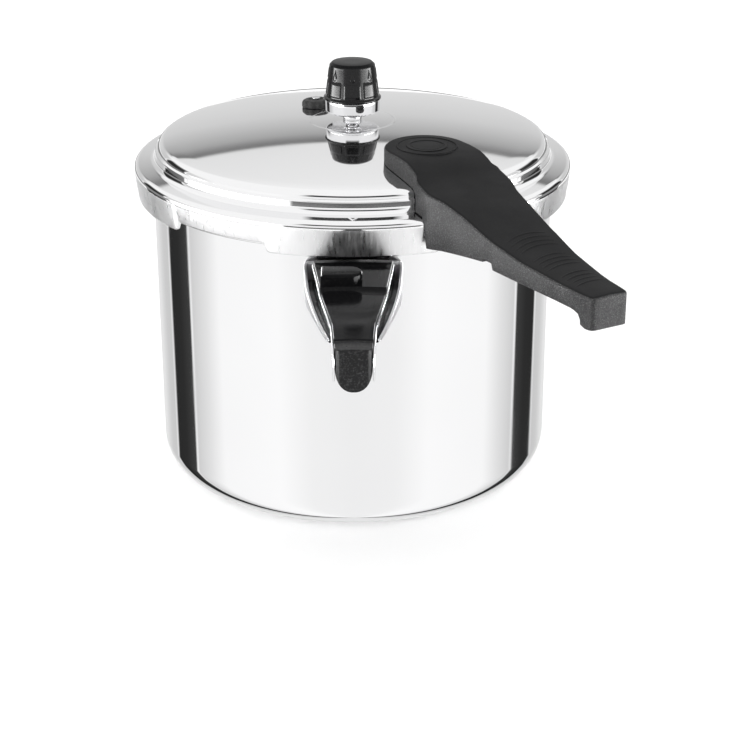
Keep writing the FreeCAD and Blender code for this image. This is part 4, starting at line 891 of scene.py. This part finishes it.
def make_valve():
    """The scalloped plug of the safety valve, leaning square to the dome."""
    bm = bmesh.new()
    skin = spin(bm, [
        (1.55, -4.4, 0.1), (5.0, -4.4, 0.5), (6.15, -3.3, 0.6), (6.15, -2.1, 0.3), (4.6, -2.1), (4.6, 0.05),
        (7.2, 0.05, 0.4), (7.3, 1.3), (7.25, 2.6, 1.2), (6.3, 3.9, 0.9), (4.2, 4.1, 0.5), (3.6, 3.3, 0.5),
        (1.55, 3.3, 0.2),
    ], 160)
    for vert in skin:
        radius, z = vert.co.xy.length / MM, vert.co.z / MM
        if radius > 5.4 and z > 0.0:
            wave = math.cos(10.0 * math.atan2(vert.co.y, vert.co.x))
            inward = 1.0 - 0.085 * (0.5 - 0.5 * wave) ** 1.5 * min(1.0, (radius - 5.4) / 1.2)
            vert.co.x *= inward
            vert.co.y *= inward
    lean = Matrix.Rotation(math.asin(VALVE_OUT / DOME_SPHERE), 4, "X")
    place = Matrix.Translation((0, -VALVE_OUT * MM, dome_height(VALVE_OUT) * MM))
    swing = Matrix.Rotation(math.radians(VALVE_AZIMUTH), 4, "Z")
    bmesh.ops.transform(bm, matrix=swing @ place @ lean, verts=bm.verts)
    finish_piece("valve_plug_moulding", bm, "lid", ["safety_valve_plug"], [RUBBER], 30.0)


make_cap()
make_weight_ring()
make_vent()
make_valve()

CAD_FINISHES = {
    "bracket_rivet_1": SATIN_METAL, "bracket_rivet_2": SATIN_METAL,
    "pot_handle_screw": STEEL, "pot_handle_insert": BRASS, "gasket": RUBBER,
    "lid_screw_seal_1": RUBBER, "lid_screw_seal_2": RUBBER,
    "lid_handle_screw_1": STEEL, "lid_handle_screw_2": STEEL, "lid_handle_insert_1": BRASS,
    "lid_handle_insert_2": BRASS, "vent_seal": RUBBER, "vent_nut": STEEL,
    "safety_valve_pin": STEEL, "weight_clip": STEEL, "weight_seat": STEEL, "jar_rack": SATIN_METAL,
}
# The nodes that show as they are: only their finish is set.
for node, finish in CAD_FINISHES.items():
    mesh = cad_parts[node].data
    mesh.materials.clear()
    mesh.materials.append(finish)


# ---- studio -------------------------------------------------------------------------------------
BOX_BRIGHTNESS = 18.0


def make_floor():
    """A wide white floor that mirrors don't show."""
    bm = bmesh.new()
    bmesh.ops.create_grid(bm, x_segments=8, y_segments=8, size=6.0)
    mesh = bpy.data.meshes.new("studio_floor")
    bm.to_mesh(mesh)
    bm.free()
    floor = bpy.data.objects.new("studio_floor", mesh)
    bpy.context.scene.collection.objects.link(floor)
    floor.location.z = -0.0002
    mesh.materials.append(new_material("floor_paper", (0.97, 0.97, 0.97), 0.0, 0.9)[0])
    floor.visible_glossy = False


def ramp_node(nodes, links, value, stops):
    """A grey scale over a value from 0 to 1, straight between its stops."""
    node = nodes.new("ShaderNodeValToRGB")
    node.color_ramp.interpolation = "LINEAR"
    elements = node.color_ramp.elements
    while len(elements) < len(stops):
        elements.new(0.5)
    for element, (place, _) in zip(elements, stops):
        element.position = place
    for element, (_, grey) in zip(elements, stops):
        element.color = (grey, grey, grey, 1.0)
    links.new(value, node.inputs[0])
    return node.outputs[0]


def make_world():
    """White from all sides, but shiny faces see a room.

    The room has grey walls with a dark card on each side, a grey card behind, a dark patch over the
    front, and bright boxes to both sides just below eye level.
    """
    world = bpy.data.worlds.new("studio")
    bpy.context.scene.world = world
    world.use_nodes = True
    nodes, links = world.node_tree.nodes, world.node_tree.links
    nodes.clear()
    out = nodes.new("ShaderNodeOutputWorld")
    split = nodes.new("ShaderNodeSeparateXYZ")
    links.new(nodes.new("ShaderNodeTexCoord").outputs["Generated"], split.inputs[0])
    side = math_node(nodes, links, "ABSOLUTE", split.outputs[0])
    front = math_node(nodes, links, "MULTIPLY", split.outputs[1], -1.0)
    angle = math_node(nodes, links, "ARCTAN2", side, front)
    round_from_front = math_node(nodes, links, "DIVIDE", angle, math.pi)
    height = math_node(nodes, links, "ARCSINE", split.outputs[2])
    height = math_node(nodes, links, "ADD", math_node(nodes, links, "DIVIDE", height, math.pi), 0.5)

    def up(degrees):
        return degrees / 180.0 + 0.5

    def by(degrees):
        return degrees / 180.0

    back = ramp_node(nodes, links, height, [
        (up(-90), 0.85), (up(-8), 0.8), (up(0), 0.74), (up(8), 0.70), (up(13), 0.65), (up(17), 0.53),
        (up(20.5), 0.40), (up(22.6), 0.2), (up(23.3), 0.16), (up(23.9), 0.8), (up(33), 0.86), (up(45), 1.0),
    ])
    walls = ramp_node(nodes, links, round_from_front, [
        (by(0), 0.93), (by(25), 0.95), (by(45), 1.05), (by(85), 1.02), (by(97), 0.82), (by(109), 0.67),
        (by(111), 1.0), (by(112.5), 0.05), (by(123), 0.028), (by(134), 0.025), (by(136), 0.9),
        (by(138), 0.62), (by(155), 0.66), (by(172), 0.95),
    ])
    low = ramp_node(nodes, links, height, [(up(15), 1.0), (up(22), 0.0)])
    behind = ramp_node(nodes, links, round_from_front, [(by(146), 0.0), (by(160), 1.0)])
    above = mix_colour(nodes, links, low, (1.0, 1.0, 1.0), walls)
    room = mix_colour(nodes, links, behind, above, back)
    lens_near = ramp_node(nodes, links, round_from_front, [(by(26), 1.0), (by(33), 0.0)])
    lens_high = ramp_node(nodes, links, height, [(up(22), 0.0), (up(26), 1.0), (up(42), 1.0), (up(46), 0.0)])
    lens = math_node(nodes, links, "MULTIPLY", lens_near, lens_high)
    seen = mix_colour(nodes, links, lens, room, (0.03, 0.03, 0.03))
    level = ramp_node(nodes, links, height, [(up(-16), 0.0), (up(-13), 1.0), (up(-4), 1.0), (up(-1), 0.0)])
    boxes = ramp_node(nodes, links, round_from_front, [
        (by(0), 0.02), (by(34), 0.03), (by(44), 1.0), (by(98), 1.0), (by(108), 0.05), (by(180), 0.05),
    ])
    lit = mix_colour(nodes, links, level, seen, boxes)
    mirror = nodes.new("ShaderNodeBackground")
    links.new(lit, mirror.inputs["Color"])
    strength = ramp_node(nodes, links, round_from_front, [
        (by(40), 0.25), (by(46), 1.0), (by(98), 1.0), (by(104), 0.25),
    ])
    share = math_node(nodes, links, "MULTIPLY", level, strength)
    brighter = math_node(nodes, links, "MULTIPLY", share, BOX_BRIGHTNESS)
    links.new(math_node(nodes, links, "ADD", brighter, 1.0), mirror.inputs["Strength"])
    plain = nodes.new("ShaderNodeBackground")
    plain.inputs["Color"].default_value = (1.0, 1.0, 1.0, 1.0)
    plain.inputs["Strength"].default_value = 1.3
    which = nodes.new("ShaderNodeLightPath")
    both = nodes.new("ShaderNodeMixShader")
    links.new(which.outputs["Is Glossy Ray"], both.inputs[0])
    links.new(plain.outputs[0], both.inputs[1])
    links.new(mirror.outputs[0], both.inputs[2])
    links.new(both.outputs[0], out.inputs["Surface"])


def make_camera():
    """Looks down on the front of the pot with a long lens."""
    data = bpy.data.cameras.new("camera")
    data.lens = 87.07
    data.sensor_width = 36.0
    data.clip_start = 0.01
    camera = bpy.data.objects.new("camera", data)
    camera.location = (0.0, -0.882, 0.420)
    camera.rotation_euler = (math.radians(90.0 - 23.27), 0.0, math.radians(-0.73))
    bpy.context.scene.collection.objects.link(camera)
    bpy.context.scene.camera = camera


make_floor()
make_world()
make_camera()
bpy.context.scene.view_settings.view_transform = "Standard"

bpy.context.view_layer.update()
